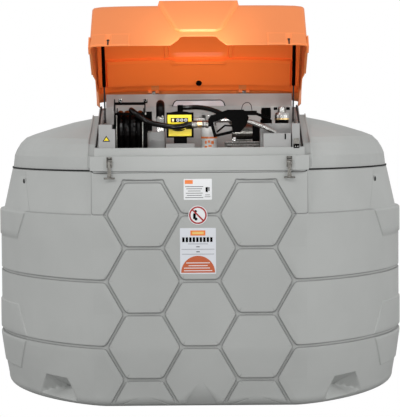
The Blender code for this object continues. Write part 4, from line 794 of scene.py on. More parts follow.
def bandGrid(zigzag, shape, pocket, flank):
    # The band round a side: rows start on the zigzag edge of the front hexagons and end on
    # that of the back. Lines bend to follow the pocket's edges and the flank panels' edges
    zigzag = np.array(zigzag)
    rows = np.concatenate([a + (b - a) * edgeShares(a, b)[:-1, None]
                           for a, b in zip(zigzag, zigzag[1:])] + [zigzag[-1:]])
    near = np.concatenate([ringSteps[:-1], [0.022, 0.035, 0.05]])
    lattice, columns, levels = pocketLattice(rows[:, 1], shape, pocket)
    band = shape["bandHalf"]
    middle = [0.560, band - 0.006, band - 0.003, band, band + 0.003, band + 0.006, 0.588]
    for a, b, count in zip(columns, columns[1:], (7, 12, 11, 12, 6)):
        middle += np.linspace(a, b, count + 1)[:-1].tolist()
    middle += np.linspace(pocket["after"], flankMiddle - 0.014, 9)[:-1].tolist()
    middle += [flankMiddle + d for d in (-0.014, -0.006, 0.0, 0.003, 0.006, 0.014)]
    middle += np.linspace(flankMiddle + 0.03, quarterRun, 28).tolist()
    u = np.array([np.concatenate([start + near, middle]) for start in rows[:, 0]])
    v = np.repeat(rows[:, 1:], u.shape[1], axis=1)
    u1, v1, s, t, j, i = latticeShift(u, v, lattice, columns, levels)
    shift = np.zeros(len(rows))
    for target in flankRows:
        k = np.searchsorted(rows[:, 1], target) - 1
        shift[k] = target - flank["panelEdge"] / 2 - rows[k, 1]
        shift[k + 1] = target + flank["panelEdge"] / 2 - rows[k + 1, 1]
    v1 = v1 + shift[:, None] * ease((u1 - 1.02) / 0.08)
    edge = np.interp(v1, flankEdge[:, 0], flankEdge[:, 1]) - flankMiddle
    flat, calm = 0.015, 1.42
    before = ramp(u1, pocket["after"], flankMiddle - flat - pocket["after"])
    after = ramp(u1, calm, flankMiddle + flat - calm)
    u1 = u1 + edge * np.minimum(before, after)
    return u1, v1, pocketSink(s, t, j, i, pocket) - flankRelief(u1, v1, shape, flank)


def cutAt(a, b, v):
    # Where the line from a to b reaches the height v
    share = (v - a[1]) / (b[1] - a[1])
    return (a[0] + (b[0] - a[0]) * share, v)


def hexCells(shape):
    # Corners, centre and mirroring of the hexagons and part hexagons of one face
    side = shape["hexPitchX"] / 1.5
    half = shape["hexPitchZ"] / 2
    top, low, topRow = shape["seamZ"], shape["lowest"], shape["hexTopZ"]
    cells = []
    for row in range(4):
        z = topRow - row * shape["hexPitchZ"]
        if row < 3:
            corners = [(-side / 2, z), (side / 2, z), (side, z - half),
                       (side / 2, z - 2 * half), (-side / 2, z - 2 * half), (-side, z - half)]
            if row == 2:
                cut = cutAt(corners[2], corners[3], low)
                corners[3:5] = [cut, (-cut[0], low)]
            cells.append((corners, (0.0, z - half), False))
        centre = (1.5 * side, z)
        corners = [(side, z + half), (2 * side, z + half), (2.5 * side, z),
                   (2 * side, z - half), (side, z - half), (side / 2, z)]
        if row == 3:
            corners = [corners[0], corners[1], cutAt(corners[1], corners[2], low),
                       cutAt(corners[0], corners[5], low)]
            centre = (1.5 * side, 0.06)
        cells += [(corners, centre, False), (corners, centre, True)]
    right = cutAt((side, topRow + half), (side / 2, topRow + 2 * half), top)
    cells.append(([(-side / 2, topRow), (side / 2, topRow), (side, topRow + half), right,
                   (-right[0], top), (-side, topRow + half)], (0.0, topRow + 0.13), False))
    outer = cutAt((2 * side, topRow + half), (2.5 * side, topRow + 2 * half), top)
    corners = [(side, topRow + half), (2 * side, topRow + half), outer, right]
    centre = (1.5 * side, topRow + half + 0.027)
    return cells + [(corners, centre, False), (corners, centre, True)]


def zigzagEdge(shape):
    # The outer border of the outer column of hexagons, from the foot to the seam
    side = shape["hexPitchX"] / 1.5
    half = shape["hexPitchZ"] / 2
    topRow = shape["hexTopZ"]
    edge = [cutAt((2 * side, topRow - 5 * half), (2.5 * side, topRow - 6 * half),
                  shape["lowest"])]
    for row in (3, 2, 1, 0):
        z = topRow - row * shape["hexPitchZ"]
        if row < 3:
            edge.append((2.5 * side, z))
        edge.append((2 * side, z + half))
    edge.append(cutAt((2 * side, topRow + half), (2.5 * side, topRow + 2 * half),
                      shape["seamZ"]))
    return edge


def buildTankSkin(shape, marks, pocket, flank):
    # Hexagon cells and side bands of the front, then the same turned round to the back
    patches = []
    for points, faces, mirror in [(*cellGrid(corners, centre), mirror)
                                  for corners, centre, mirror in hexCells(shape)]:
        patches.append((points[:, 0], points[:, 1], 0.0, faces, mirror))
    u, v, sink = bandGrid(zigzagEdge(shape), shape, pocket, flank)
    for mirror in (False, True):
        patches.append((u.ravel(), v.ravel(), sink.ravel(), gridFaces(*u.shape), mirror))
    verts, faces, values, start = [], [], [], 0
    for back in (False, True):
        for u, v, sink, patchFaces, mirror in patches:
            sink = sink + grooveSink(u, v, shape, not back)
            values.append(tankPaintedShade(u, v, shape, marks, not back))
            u = -u if mirror else u
            if back:
                u = np.where(u >= 0, 2 * quarterRun - u, -2 * quarterRun - u)
            verts.append(tankPoint(np.where(np.abs(u) < 1e-9, 1e-9, u), v, shape, sink))
            faces += [[start + i for i in face] for face in patchFaces]
            start += len(u)
    points = np.concatenate(verts)
    points[:, 0] = np.clip(points[:, 0], cadBox[0][0], cadBox[1][0])
    mesh = bpy.data.meshes.new("tank_shell")
    mesh.from_pydata(points.tolist(), [], faces)
    mesh.materials.append(finishes["greyTank"])
    shell = bpy.data.objects.new("tank_shell", mesh)
    bpy.context.scene.collection.objects.link(shell)
    # The skin carries painted shade along its grooves, corner line, step and slanted strip
    addMark(shell, np.concatenate(values))
    closeShell(shell, shape)
    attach(shell, "tank")
    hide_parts("outer_tank")
    print("tank shell ready, faces:", len(mesh.polygons))


def closeShell(shell, shape):
    # The seam edge turns in and runs down as a plain lining; the foot gets its flat bottom
    bm = bmesh.new()
    bm.from_mesh(shell.data)
    bmesh.ops.remove_doubles(bm, verts=bm.verts, dist=0.00004)
    openEdges = [e for e in bm.edges if len(e.link_faces) == 1]
    footEdges = [e for e in openEdges if max(v.co.z for v in e.verts) < 0.001]
    rimEdges = [e for e in openEdges if min(v.co.z for v in e.verts) > shape["seamZ"] - 0.001]
    for scale, z in zip(shape["liningScales"], (shape["seamZ"], shape["liningFoot"])):
        grown = bmesh.ops.extrude_edge_only(bm, edges=rimEdges)["geom"]
        moved = [g for g in grown if isinstance(g, bmesh.types.BMVert)]
        for vert in moved:
            vert.co = Vector((vert.co.x * scale, vert.co.y * scale, z))
        rimEdges = [g for g in grown if isinstance(g, bmesh.types.BMEdge)
                    and all(v in moved for v in g.verts)]
    bmesh.ops.edgeloop_fill(bm, edges=rimEdges)
    bmesh.ops.edgeloop_fill(bm, edges=footEdges)
    bmesh.ops.recalc_face_normals(bm, faces=bm.faces)
    bm.to_mesh(shell.data)
    bm.free()
    shell.data.shade_smooth()
    shell.data.set_sharp_from_angle(angle=radians(50))


buildTankSkin(tankShape, paintedShadeShape, pocketShape, flankShape)


# Lid skin. Drawn closed, as reach forward of the hinge line and height from it, then turned
# open. Rows run along the side outline from the tail to the lip, columns across the lid

lidShape = {
    "hinge": (-0.455, 1.664),
    "open": 48.5,
    "half": 0.566,
    "wall": 0.0045,
    "lip": -0.332,
    "topRound": 0.020,
    "frontRound": 0.012,
    "panelFoot": -0.207,
    "panelBlend": 0.008,
    "panelProud": 0.010,
    "panelStart": 0.400,
    "panelFade": 0.05,
    "crestProud": 0.0180,
    "crestFade": 0.30,
    "pads": ((0.361, 0.457), (0.483, 0.560)),
    "padRows": (-0.325, -0.230),
    "padProud": 0.004,
    "notchStart": -0.214,
    "frontLean": 0.078,
}

# Height and setback lost towards the side; side outline; lower side line; the skirt's notch and
# the raised panel's half width by height; how far the skirt steps in by reach
lidCrown = np.array([(0.0, 0.032, 0.010), (0.012, 0.027, 0.006), (0.045, 0.018, 0.002),
                     (0.136, 0.009, 0.0), (0.260, 0.002, 0.0), (0.60, 0.0, 0.0)])
lidOutline = np.array([(-0.062, 0.016), (0.07, 0.016), (0.46, 0.056), (0.553, 0.0555),
                       (0.571, 0.044), (0.577, 0.026), (0.605, -0.332)])
lidSideLine = np.array([(-0.062, -0.060), (0.0, -0.112), (0.500, -0.268), (0.545, -0.332)])
lidNotch = np.array([(0.0, 0.081), (0.0917, 0.081), (0.128, 0.006), (0.134, 0.0), (0.6, 0.0)])
lidPanelEdge = np.array([(-0.60, 0.0985), (-0.207, 0.0985), (-0.190, 0.123), (0.048, 0.2135),
                         (0.070, 0.185), (0.2, 0.185)])
skirtStep = np.array([(0.13, 0.018), (0.15, 0.010), (0.26, 0.010), (0.28, 0.0)])
lidFrontRows = np.array([0.026, 0.0, -0.04, -0.09, -0.14, -0.175, -0.188, -0.196, -0.203, -0.208,
                         -0.213, -0.221, -0.2262, -0.2285, -0.2315, -0.2340, -0.245, -0.262,
                         -0.285, -0.305, -0.3235, -0.3265, -0.3295, -0.332])
padColumns = np.array([0.3595, 0.3625, 0.3665, 0.41, 0.4515, 0.4555, 0.4585, 0.4815, 0.4845,
                       0.4885, 0.515, 0.546])


def lidPlace(x, f, z, shape):
    # From closed (x, reach, height) to the open lid's place in the world
    turn = radians(shape["open"])
    y = shape["hinge"][0] - (f * cos(turn) - z * sin(turn))
    height = shape["hinge"][1] + f * sin(turn) + z * cos(turn)
    return np.stack(np.broadcast_arrays(x, y, height), axis=-1)


def softened(points, radius):
    # An outline with its corners cut round by a moving average, read evenly
    run = runAlong(points)
    dense = np.linspace(0, run[-1], 2400)
    span = max(int(radius / run[-1] * 2400), 1)
    kernel = np.hanning(2 * span + 1)
    kernel /= kernel.sum()
    columns = []
    for k in range(2):
        value = np.interp(dense, run, points[:, k])
        ends = (2 * value[0] - value[span:0:-1], value, 2 * value[-1] - value[-2:-span - 2:-1])
        columns.append(np.convolve(np.concatenate(ends), kernel, mode="valid"))
    return dense, np.stack(columns, axis=-1)


def lidRows():
    # Rows along the side outline: place and inward direction of each, and where the front starts
    dense, line = softened(lidOutline, 0.018)
    crest, frontStart = np.interp([0.46, 0.571], line[:, 0], dense)
    onFront = dense >= frontStart - 0.01
    frontRun = np.interp(-lidFrontRows, -line[onFront, 1], dense[onFront])
    rows = np.unique(np.concatenate([np.linspace(0, crest, 26), frontRun,
                                     np.linspace(crest, frontStart, 16)]))
    slope = np.gradient(line, dense, axis=0)
    f, z, slopeF, slopeZ = [np.interp(rows, dense, g)[:, None] for g in (*line.T, *slope.T)]
    size = np.hypot(slopeF, slopeZ)
    return rows, frontStart / dense[-1], f, z, slopeZ / size, -slopeF / size


def buildLidSkin(shape):
    rows, frontShare, f0, z0, inF, inZ = lidRows()

    # Half of the columns: the raised panel, the pads, the rounded edge, then the side wall
    edge = np.interp(z0, lidPanelEdge[:, 0], lidPanelEdge[:, 1])
    inner = np.linspace(0, 1, 9)[None, :-1]
    beside = (np.concatenate([[0.004], np.linspace(0.03, 1, 8)])[None, :] - 0.004) / 0.996
    blend = shape["panelBlend"] / 2
    start = shape["pads"][0][0] - 0.0055
    x = np.concatenate([edge * inner - blend * (inner > 0.85), edge - blend,
                        edge + blend + (start - edge - blend) * beside,
                        np.repeat(padColumns[None], len(rows), axis=0)], axis=1)
    turn = np.linspace(0, pi / 2, 7)[1:]
    share = np.linspace(0, 1, 9)[1:]
    frontness = np.clip(-inF, 0, 1)
    radius = shape["topRound"] + (shape["frontRound"] - shape["topRound"]) * frontness
    bend = np.concatenate([np.zeros(x.shape[1]), 1 - np.cos(turn), np.ones(len(share))])
    last = x.shape[1] + len(turn) - 1
    x = np.concatenate([x, shape["half"] - radius + radius * np.sin(turn)[None, :],
                        np.full((len(rows), len(share)), shape["half"])], axis=1)
    away = shape["half"] - x
    top = np.interp(away, lidCrown[:, 0], lidCrown[:, 1])
    sink = top + (np.interp(away, lidCrown[:, 0], lidCrown[:, 2]) - top) * frontness
    sink = sink + radius * bend[None, :]

    # Raised panel, pads and the notch in the skirt
    height = np.repeat(z0, x.shape[1], axis=1)
    onFront = frontness > 0.6
    panel = np.clip((edge - x) / shape["panelBlend"] + 0.5, 0, 1)
    panel = panel * np.clip((height - shape["panelFoot"]) / shape["panelBlend"] + 0.5, 0, 1)
    reachBack = ramp(f0, shape["panelStart"], shape["panelFade"])
    crest = shape["crestProud"] * ramp(frontness, 1, -shape["crestFade"])
    sink = sink - (shape["panelProud"] + crest) * panel * np.where(onFront, 1, reachBack)
    padMask = sum(between(x, low, high + (0.1 if high > 0.5 else 0))
                  for low, high in shape["pads"])
    sink = sink - shape["padProud"] * padMask * between(height, *shape["padRows"]) * onFront
    f = f0 + inF * sink
    z = z0 + inZ * sink
    lift = np.interp(x, lidNotch[:, 0], lidNotch[:, 1]) * onFront
    lift = lift * ramp(z, shape["notchStart"], shape["lip"] - shape["notchStart"])
    z = z + lift
    f = f - lift * shape["frontLean"]

    # Side wall: from the rounded edge straight to the lower side line
    sideRun = runAlong(lidSideLine)
    pace = np.interp(rows / rows[-1], [0, frontShare, 1], [0, 0.90 * sideRun[-1], sideRun[-1]])
    lowF = np.interp(pace, sideRun, lidSideLine[:, 0])[:, None]
    lowZ = np.interp(pace, sideRun, lidSideLine[:, 1])[:, None]
    rim, wall = slice(last, last + 1), slice(last + 1, None)
    f[:, wall] = f[:, rim] + (lowF - f[:, rim]) * share
    z[:, wall] = z[:, rim] + (lowZ - z[:, rim]) * share
    x[:, wall] -= share * np.interp(f[:, wall], skirtStep[:, 0], skirtStep[:, 1])
    mark = lidPaintedHighlight(x, height, edge, onFront, shape)
    return [np.concatenate([side * g[:, :0:-1], g], axis=1)
            for side, g in ((-1, x), (1, f), (1, z), (1, mark))]


def lidPaintedHighlight(x, z, edge, onFront, shape):
    # Painted highlight: lighter rims of the raised panel and of the pads
    def near(value, place, width=0.0032):
        return np.clip(1.4 - np.abs(value - place) / width, 0, 1)

    foot, padTop = shape["panelFoot"], shape["padRows"][1]
    mark = np.where(z > foot, near(x, edge, 0.0050), 0)
    mark = np.maximum(mark, near(z, foot, 0.005) * (x < edge))
    for low, high in shape["pads"]:
        inside = (x > low - 0.002) & (x < high + 0.002) & onFront
        mark = np.maximum(mark, near(z, padTop) * inside)
        sides = np.maximum(near(x, low, 0.002), near(x, high, 0.002) if high < 0.5 else 0)
        mark = np.maximum(mark, 0.8 * sides * (z < padTop + 0.002) * onFront)
    return mark


def lidShell(shape):
    x, f, z, mark = buildLidSkin(shape)
    points = lidPlace(x, f, z, shape).reshape(-1, 3)
    faces = [face[::-1] for face in gridFaces(*x.shape)]
    shell = meshPiece("lid_shell", [(points, faces)], "orangeLid", body="lid", smoothAngle=34,
                      recalc=False)
    # Painted highlight along the rims of the raised panel and of the pads
    addMark(shell, mark)
    addWall(shell, shape["wall"])
    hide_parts("lid")


# Moulded underside of the lid: how far it stands down under the top, by x and by reach. Slopes
# are (start, length), and below 0 the length runs down

liningShape = {
    "columns": (0, 0.07, 0.120, 0.135, 0.150, 0.156, 0.162, 0.165, 0.168, 0.182, 0.185, 0.188,
                0.26, 0.34, 0.42, 0.47, 0.500, 0.508, 0.530, 0.548),
    "rows": (0.0, 0.008, 0.018, 0.03, 0.042, 0.058, 0.075, 0.12, 0.17, 0.192, 0.196, 0.205,
             0.214, 0.220, 0.2245, 0.2275, 0.232, 0.244, 0.250, 0.256, 0.262, 0.285, 0.33,
             0.40, 0.46, 0.50, 0.53, 0.550),
    "tail": 0.0065,
    "plain": 0.010,
    "ledge": 0.016,
    "ledgeEnd": 0.2275,
    "ledgeSide": (0.508, -0.008),
    "tailRise": (0.042, 0.016),
    "ribs": (0.162, 0.188),
    "rib": 0.007,
    "bump": 0.012,
    "bumpSlopes": ((0.192, 0.012), (0.262, -0.018), (0.156, -0.036)),
    "side": 0.02,
    "sideSlope": (0.530, 0.018),
    "highlightSlope": (0.205, 0.008),
    "wall": 0.002,
}


def lidLining(shape, lining):
    # A ledge at the back, two ribs in front of it, a middle bump, and walls at the sides
    half = np.array(lining["columns"])
    x, f = np.meshgrid(np.concatenate([-half[:0:-1], half]), lining["rows"])
    away = np.abs(x)
    end = lining["ledgeEnd"]
    top = np.interp(f, lidOutline[:5, 0], lidOutline[:5, 1])
    top = top - np.interp(shape["half"] - away, lidCrown[:, 0], lidCrown[:, 1])
    ledge = ramp(f, end, -0.003) * ramp(away, *lining["ledgeSide"])
    thick = lining["plain"] + lining["ledge"] * ledge
    thick = lining["tail"] + (thick - lining["tail"]) * ramp(f, *lining["tailRise"])
    innerRib, outerRib = lining["ribs"]
    ribs = ramp(away, innerRib, 0.003) * ramp(away, outerRib, -0.003)
    thick = thick + lining["rib"] * ribs * ramp(f, end, 0.004)
    rise, fall, side = lining["bumpSlopes"]
    bump = ramp(away, *side) * ramp(f, *rise)
    thick = thick + lining["bump"] * bump * ramp(f, *fall)
    thick = thick + lining["side"] * ramp(away, *lining["sideSlope"]) * ramp(f, 0.04, 0.02)
    points = lidPlace(x, f, top - thick, shape).reshape(-1, 3)
    piece = meshPiece("lid_lining", [(points, gridFaces(*x.shape))], "orangeInside", body="lid",
                      smoothAngle=25, recalc=False)
    # Painted highlight on the middle bump and on the strip along the back ledge
    strip = ramp(f, *lining["highlightSlope"]) * (f < end + 0.001) * (away < 0.502)
    addMark(piece, np.maximum(0.9 * np.clip(1.3 * bump, 0, 1) * (f < 0.250), 0.6 * strip))
    addWall(piece, lining["wall"])


# Keyholes between the pads, a round rubber bumper, and ribs along the skirt's lower edge

lidFittings = {
    "keyholes": (-0.470, 0.470),
    "keyholeTop": -0.285,
    "keyholeFoot": -0.328,
    "keyholeRadius": 0.0075,
    "stemHalf": 0.0035,
    "bumperReach": 0.074,
    "bumperDrop": 0.026,
    "bumper": ((0.016, -0.003), (0.016, 0.006), (0.013, 0.011), (0.006, 0.0125)),
    "flange": ((0.300, -0.2060), (0.500, -0.2680), (0.545, -0.3300), (0.590, -0.3300),
               (0.596, -0.2500), (0.540, -0.2450), (0.480, -0.2200), (0.300, -0.1650)),
    "flangeProud": 0.0075,
}


def buildLidFittings(shape, fittings):
    (upperF, upperZ), (lowerF, lowerZ) = lidOutline[-2:]
    lean = (lowerF - upperF) / (upperZ - lowerZ)

    def onFront(x, z, depth):
        return lidPlace(x, upperF + (upperZ - z) * lean + 0.0004 + depth, z, shape)

    flanges = [plate(fittings["flange"], fittings["flangeProud"],
                     lambda f, z, depth: lidPlace(side * (0.5655 + depth), f, z, shape))
               for side in (-1, 1)]
    meshPiece("lid_flanges", flanges, "orangeLid", body="lid")

    # The keyholes are thin dark plates on the lid: painted shade where the holes are
    slots = []
    turn = np.linspace(-0.3 * pi, 1.3 * pi, 14)
    radius, stem = fittings["keyholeRadius"], fittings["stemHalf"]
    for x in fittings["keyholes"]:
        head = np.stack([x + radius * np.cos(turn), fittings["keyholeTop"]
                         + radius * np.sin(turn)], axis=-1)
        outline = [(x + stem, fittings["keyholeFoot"]), *head, (x - stem, fittings["keyholeFoot"])]
        slots.append(plate(outline, 0.0006, onFront))
    meshPiece("lid_keyholes", slots, "darkGap", body="lid")

    reach = fittings["bumperReach"]
    under = np.interp(reach, lidOutline[:5, 0], lidOutline[:5, 1]) - fittings["bumperDrop"]
    down = (0, -sin(radians(shape["open"])), -cos(radians(shape["open"])))
    meshPiece("lid_bumper", [turned(fittings["bumper"], lidPlace(0.0, reach, under, shape),
                                    down, 28)], "rubberSkin", body="lid")


lidShell(lidShape)
lidLining(lidShape, liningShape)
buildLidFittings(lidShape, lidFittings)
print("lid ready")


# Seam, seals and grommets of the cover

coverTrim = {
    "seamLow": 1.2425,
    "seamHigh": 1.2500,
    "middleLow": 1.2345,
    "middleHigh": 1.2375,
    "middleHalf": 0.556,
    "middleFade": 0.022,
    "seamWall": 1.2355,
    "grommetPlace": (1.305, 1.176),
    "grommetRing": 0.019,
    "grommetHole": 0.0140,
    "grommetSunk": 0.0075,
    "sealX": 0.5405,
    "sealStart": (0.05, 1.3665),
    "sealEnd": (0.60, 1.5790),
}


def buildSeam(trim, shape):
    # Painted shade in the seam between tank and cover: a thin dark band that follows the tank's
    # own outline
    u = np.linspace(-2 * quarterRun + 0.01, 2 * quarterRun, 420)
    middle = 1 - ease((np.abs(u) - trim["middleHalf"]) / trim["middleFade"])
    low = trim["seamLow"] + (trim["middleLow"] - trim["seamLow"]) * middle
    high = trim["seamHigh"] + (trim["middleHigh"] - trim["seamHigh"]) * middle
    rows = []
    for sink, z in ((0.006, low), (-0.0004, low), (-0.0004, high), (0.012, high)):
        points = tankPoint(u, np.full(u.shape, trim["seamWall"]), shape, sink)
        points[:, 2] = z
        rows.append(points)
    grid = np.stack(rows)
    meshPiece("seam_gap", [(grid.reshape(-1, 3), gridFaces(*grid.shape[:2], wrap=True))],
              "darkGap")


def onTank(u, v, out, shape):
    # A place that stands out from the tank's skin, and the outward direction there
    here, beyond = tankPoint(np.array([u, u]), np.array([v, v]), shape, np.array([0.0, -1.0]))
    return here + out * (beyond - here), beyond - here


def buildGrommets(trim, shape):
    rings, holes = [], []
    ring, hole = trim["grommetRing"], trim["grommetHole"]
    u, v = trim["grommetPlace"]
    for side in (-1, 1):
        place, out = onTank(side * u, v, -trim["grommetSunk"], shape)
        rings.append(turned([(hole, -0.004), (ring, -0.004), (ring, 0.001), (ring - 0.003, 0.003),
                             (hole + 0.002, 0.003), (hole, 0.001)], place, out, 32))
        holes.append(turned([(hole, -0.003), (hole, 0.0032), (0.001, 0.0036)], place, out, 32))
    meshPiece("grommet_rings", rings, "greySkin")
    # The holes are dark plugs: painted shade inside the grommets
    meshPiece("grommet_holes", holes, "darkGap")


def buildSeals(trim):
    # Black rubber along the frame's side tops, following their slope
    section = [(-0.0045, 0), (-0.0045, 0.006), (-0.002, 0.010), (0.002, 0.010), (0.0045, 0.006),
               (0.0045, 0)]
    slope = np.array([trim["sealStart"], trim["sealEnd"]])
    strips = []
    for side in (-1, 1):
        x = side * trim["sealX"]
        path = smoothPath([(x, front + d, z) for d, z in (
            (0.056, 1.367), (0.20, 1.410), (0.38, 1.4725), (0.56, 1.535), (0.615, 1.5545))], 24)
        path[:, 2] = np.interp(path[:, 1] - front, slope[:, 0], slope[:, 1])
        strips.append(swept(path, section))
    meshPiece("frame_seals", strips, "rubberSkin")


buildSeam(coverTrim, tankShape)
buildGrommets(coverTrim, tankShape)
buildSeals(coverTrim)
print("seam, grommets and seals ready")


# Bare plates: plain shapes and bars only. Layers lie half a millimetre over each other

def frontPlate(outline, layer=0, thickness=0.0005):
    def place(a, b, depth):
        return np.stack([a, front - 0.0006 - layer * 0.0005 - depth, b], axis=-1)
    return plate(outline, thickness, place)


def rectangle(x0, x1, z0, z1, corner=0.0):
    if not corner:
        return [(x0, z0), (x1, z0), (x1, z1), (x0, z1)]
    points = []
    for k, centre in enumerate(((x1 - corner, z1 - corner), (x0 + corner, z1 - corner),
                                (x0 + corner, z0 + corner), (x1 - corner, z0 + corner))):
        points += disc(centre, corner, k * pi / 2, (k + 1) * pi / 2, 5)
    return points


def disc(centre, radius, start=0.0, end=2 * pi, steps=48):
    turn = np.linspace(start, end, steps, endpoint=end - start < 6.2)
    return [(centre[0] + radius * cos(a), centre[1] + radius * sin(a)) for a in turn]


def bars(x0, x1, rows, height):
    # Stacked bars of unlike lengths that stand for lines of print
    parts = []
    for k, z in enumerate(rows):
        short = (0.0, 0.18, 0.07, 0.30, 0.12)[k % 5] * (x1 - x0) / 2
        parts.append(frontPlate(rectangle(x0 + short, x1 - short, z, z + height), 1))
    return parts


# In the information plate, boxes are (left edge, right edge, foot, top). Marks near an edge of
# the plate are set from that edge
infoPlate = {
    "box": (-0.0830, 0.0645, 1.0932, 1.2026),
    "corner": 0.004,
    "orangeRight": 0.048,
    "orangeDrop": (0.026, 0.006),
    "barMargins": (0.008, 0.045),
    "barRows": (0.010, 0.042, 6),
    "sideBars": (0.038, 0.008, (0.014, 0.024)),
    "symbol": ((0.033, 0.021, 0.040, 0.066), (0.018, 0.013, 0.046, 0.066)),
}


def buildInfoPlate(setup):
    x0, x1, z0, z1 = setup["box"]
    meshPiece("info_plate", [frontPlate(rectangle(*setup["box"], setup["corner"]))], "plateWhite")
    low, high = setup["orangeDrop"]
    corner = rectangle(x0 + high, x0 + setup["orangeRight"], z1 - low, z1 - high)
    meshPiece("info_orange", [frontPlate(corner, 1)], "orangeSkin")
    left, right = setup["barMargins"]
    foot, drop, count = setup["barRows"]
    lines = bars(x0 + left, x1 - right, np.linspace(z0 + foot, z1 - drop, count), 0.0035)
    left, right, rows = setup["sideBars"]
    lines += bars(x1 - left, x1 - right, [z0 + row for row in rows], 0.003)
    meshPiece("info_bars", lines, "printGrey")
    symbol = [frontPlate(rectangle(x1 - left, x1 - right, z0 + low, z0 + high), 1)
              for left, right, low, high in setup["symbol"]]
    meshPiece("info_symbol", symbol, "blackMoulded")


roundSign = {
    "centre": (-0.0097, 1.0129),
    "radius": 0.050,
    "ringOut": 0.046,
    "ringIn": 0.0382,
    "barReach": 0.042,
    "barHalf": 0.0042,
}


def buildRoundSign(setup):
    # A white disc with a red ring and a slanting bar, over a plain black mark
    centre = np.array(setup["centre"])
    meshPiece("sign_disc", [frontPlate(disc(centre, setup["radius"]))], "plateWhite")
    outer, inner = disc(centre, setup["ringOut"]), disc(centre, setup["ringIn"])
    loops = [[(x, front - 0.0012 - depth, z) for x, z in loop]
             for loop, depth in ((outer, 0), (outer, 0.0005), (inner, 0.0005), (inner, 0),
                                 (outer, 0))]
    grid = np.array(loops)
    ring = (grid.reshape(-1, 3), gridFaces(*grid.shape[:2], wrap=True))
    a, b = setup["barReach"], setup["barHalf"]
    slant = np.array([(-a, b), (-a, -b), (a, -b), (a, b)]) / 2 ** 0.5
    slant = centre + np.stack([slant[:, 0] + slant[:, 1], slant[:, 1] - slant[:, 0]], axis=-1)
    meshPiece("sign_ring", [ring, frontPlate(slant, 1)], "signRed")
    x, z = centre
    mark = [frontPlate(rectangle(x - 0.025, x - 0.011, z - 0.020, z + 0.010, 0.003), 0.5),
            frontPlate(disc((x - 0.010, z - 0.020), 0.008), 0.6),
            frontPlate(disc((x - 0.012, z + 0.020), 0.007), 0.6)]
    meshPiece("sign_mark", mark, "blackMoulded")


# Rows of bars are (drop from the top or rise from the foot, half width, height)
noticePlate = {
    "box": (-0.1045, 0.0836, 0.7055, 0.9460),
    "corner": 0.004,
    "softBars": ((0.0850, 0.052, 0.0035), (0.1130, 0.086, 0.0035), (0.1385, 0.084, 0.0035)),
    "strongBars": ((0.1005, 0.009, 0.004), (0.1265, 0.009, 0.004)),
    "blocks": 9,
    "blockShare": 0.68,
    "margin": 0.012,
    "blockDrops": (0.0735, 0.0485),
    "headBox": (0.0395, 0.039, 0.0265),
    "headFace": (0.0325, 0.030, 0.0130, 2),
    "domeLift": 0.0065,
    "domeRadius": 0.0885,
    "domeBars": ((0.062, 0.062, 0.0560), (0.050, 0.050, 0.0415), (0.074, 0.062, 0.0290),
                 (0.074, 0.074, 0.0150)),
}


def buildNotice(setup):
    x0, x1, z0, z1 = setup["box"]
    middle = (x0 + x1) / 2

    def level(drop, half, tall, layer=1):
        return frontPlate(rectangle(middle - half, middle + half, z1 - drop, z1 - drop + tall),
                          layer)

    meshPiece("notice_plate", [frontPlate(rectangle(*setup["box"], setup["corner"]))],
              "plateGrey")
    meshPiece("notice_bars", [level(*bar) for bar in setup["softBars"]], "printSoft")
    wide = (x1 - x0 - 2 * setup["margin"]) / setup["blocks"]
    left = x0 + setup["margin"] + wide * np.arange(setup["blocks"])
    low, high = setup["blockDrops"]
    strong = [frontPlate(rectangle(x, x + wide * setup["blockShare"], z1 - low, z1 - high), 1)
              for x in left]
    strong += [level(*bar) for bar in setup["strongBars"]]
    meshPiece("notice_title", strong, "blackMoulded")
    meshPiece("notice_box", [level(*setup["headBox"])], "orangeSkin")
    meshPiece("notice_box_face", [level(*setup["headFace"])], "paleYellow")
    dome = disc((middle, z0 + setup["domeLift"]), setup["domeRadius"], 0.0, pi, 36)
    meshPiece("notice_dome", [frontPlate(dome, 1)], "noticeOrange")
    light = [frontPlate(rectangle(middle - toLeft, middle + toRight, z0 + low, z0 + low + 0.004),
                        2) for toLeft, toRight, low in setup["domeBars"]]
    meshPiece("notice_light", light, "plateWhite")


buildInfoPlate(infoPlate)
buildRoundSign(roundSign)
buildNotice(noticePlate)
print("plates ready")


# Details of the bay's kit. Places are (x, set back from the front, height above the bay's
# floor), and a box is its low corner, its high corner and the radius of its edges

def kitBoxes(boxes):
    return [roundedBox(inBay(low), inBay(high), radius) for low, high, radius in boxes]


def kitRing(centre, radius, wire, axis=(0, 1, 0), steps=24, sides=8):
    # A ring of round wire about an axis
    axis, a, b = acrossAxis(axis, (0, 0, 1.0), (1.0, 0, 0))
    angle = np.linspace(0, 2 * pi, steps, endpoint=False)[:, None]
    path = inBay(centre) + radius * (np.cos(angle) * a + np.sin(angle) * b)
    return swept(path, circle(wire, sides), up=axis, closed=True)


def kitCoil(route, radius, wire, turns, steps=16, sides=6):
    # A wire wound round a route
    path = smoothPath(inBay(route), turns * steps)
    tangent = np.gradient(path, axis=0)
    tangent /= np.linalg.norm(tangent, axis=1)[:, None]
    side = np.cross(tangent, (0, 1.0, 0))
    side /= np.linalg.norm(side, axis=1)[:, None]
    angle = np.linspace(0, 2 * pi * turns, len(path))[:, None]
    wound = path + radius * (np.cos(angle) * side + np.sin(angle) * np.cross(side, tangent))
    return swept(wound, circle(wire, sides), up=(0.3, 1.0, 0.2))


def frontShape(outline, setBack, thickness=0.0008):
    def place(a, b, depth):
        return np.stack([a, front + setBack - depth, bayFloor + b], axis=-1)
    return plate(outline, thickness, place)


def stud(place, radius, height, steps):
    # A low round stud that faces the front
    return turned([(0.001, 0), (radius, 0), (radius, height), (0.001, height)], inBay(place),
                  (0, -1, 0), steps)


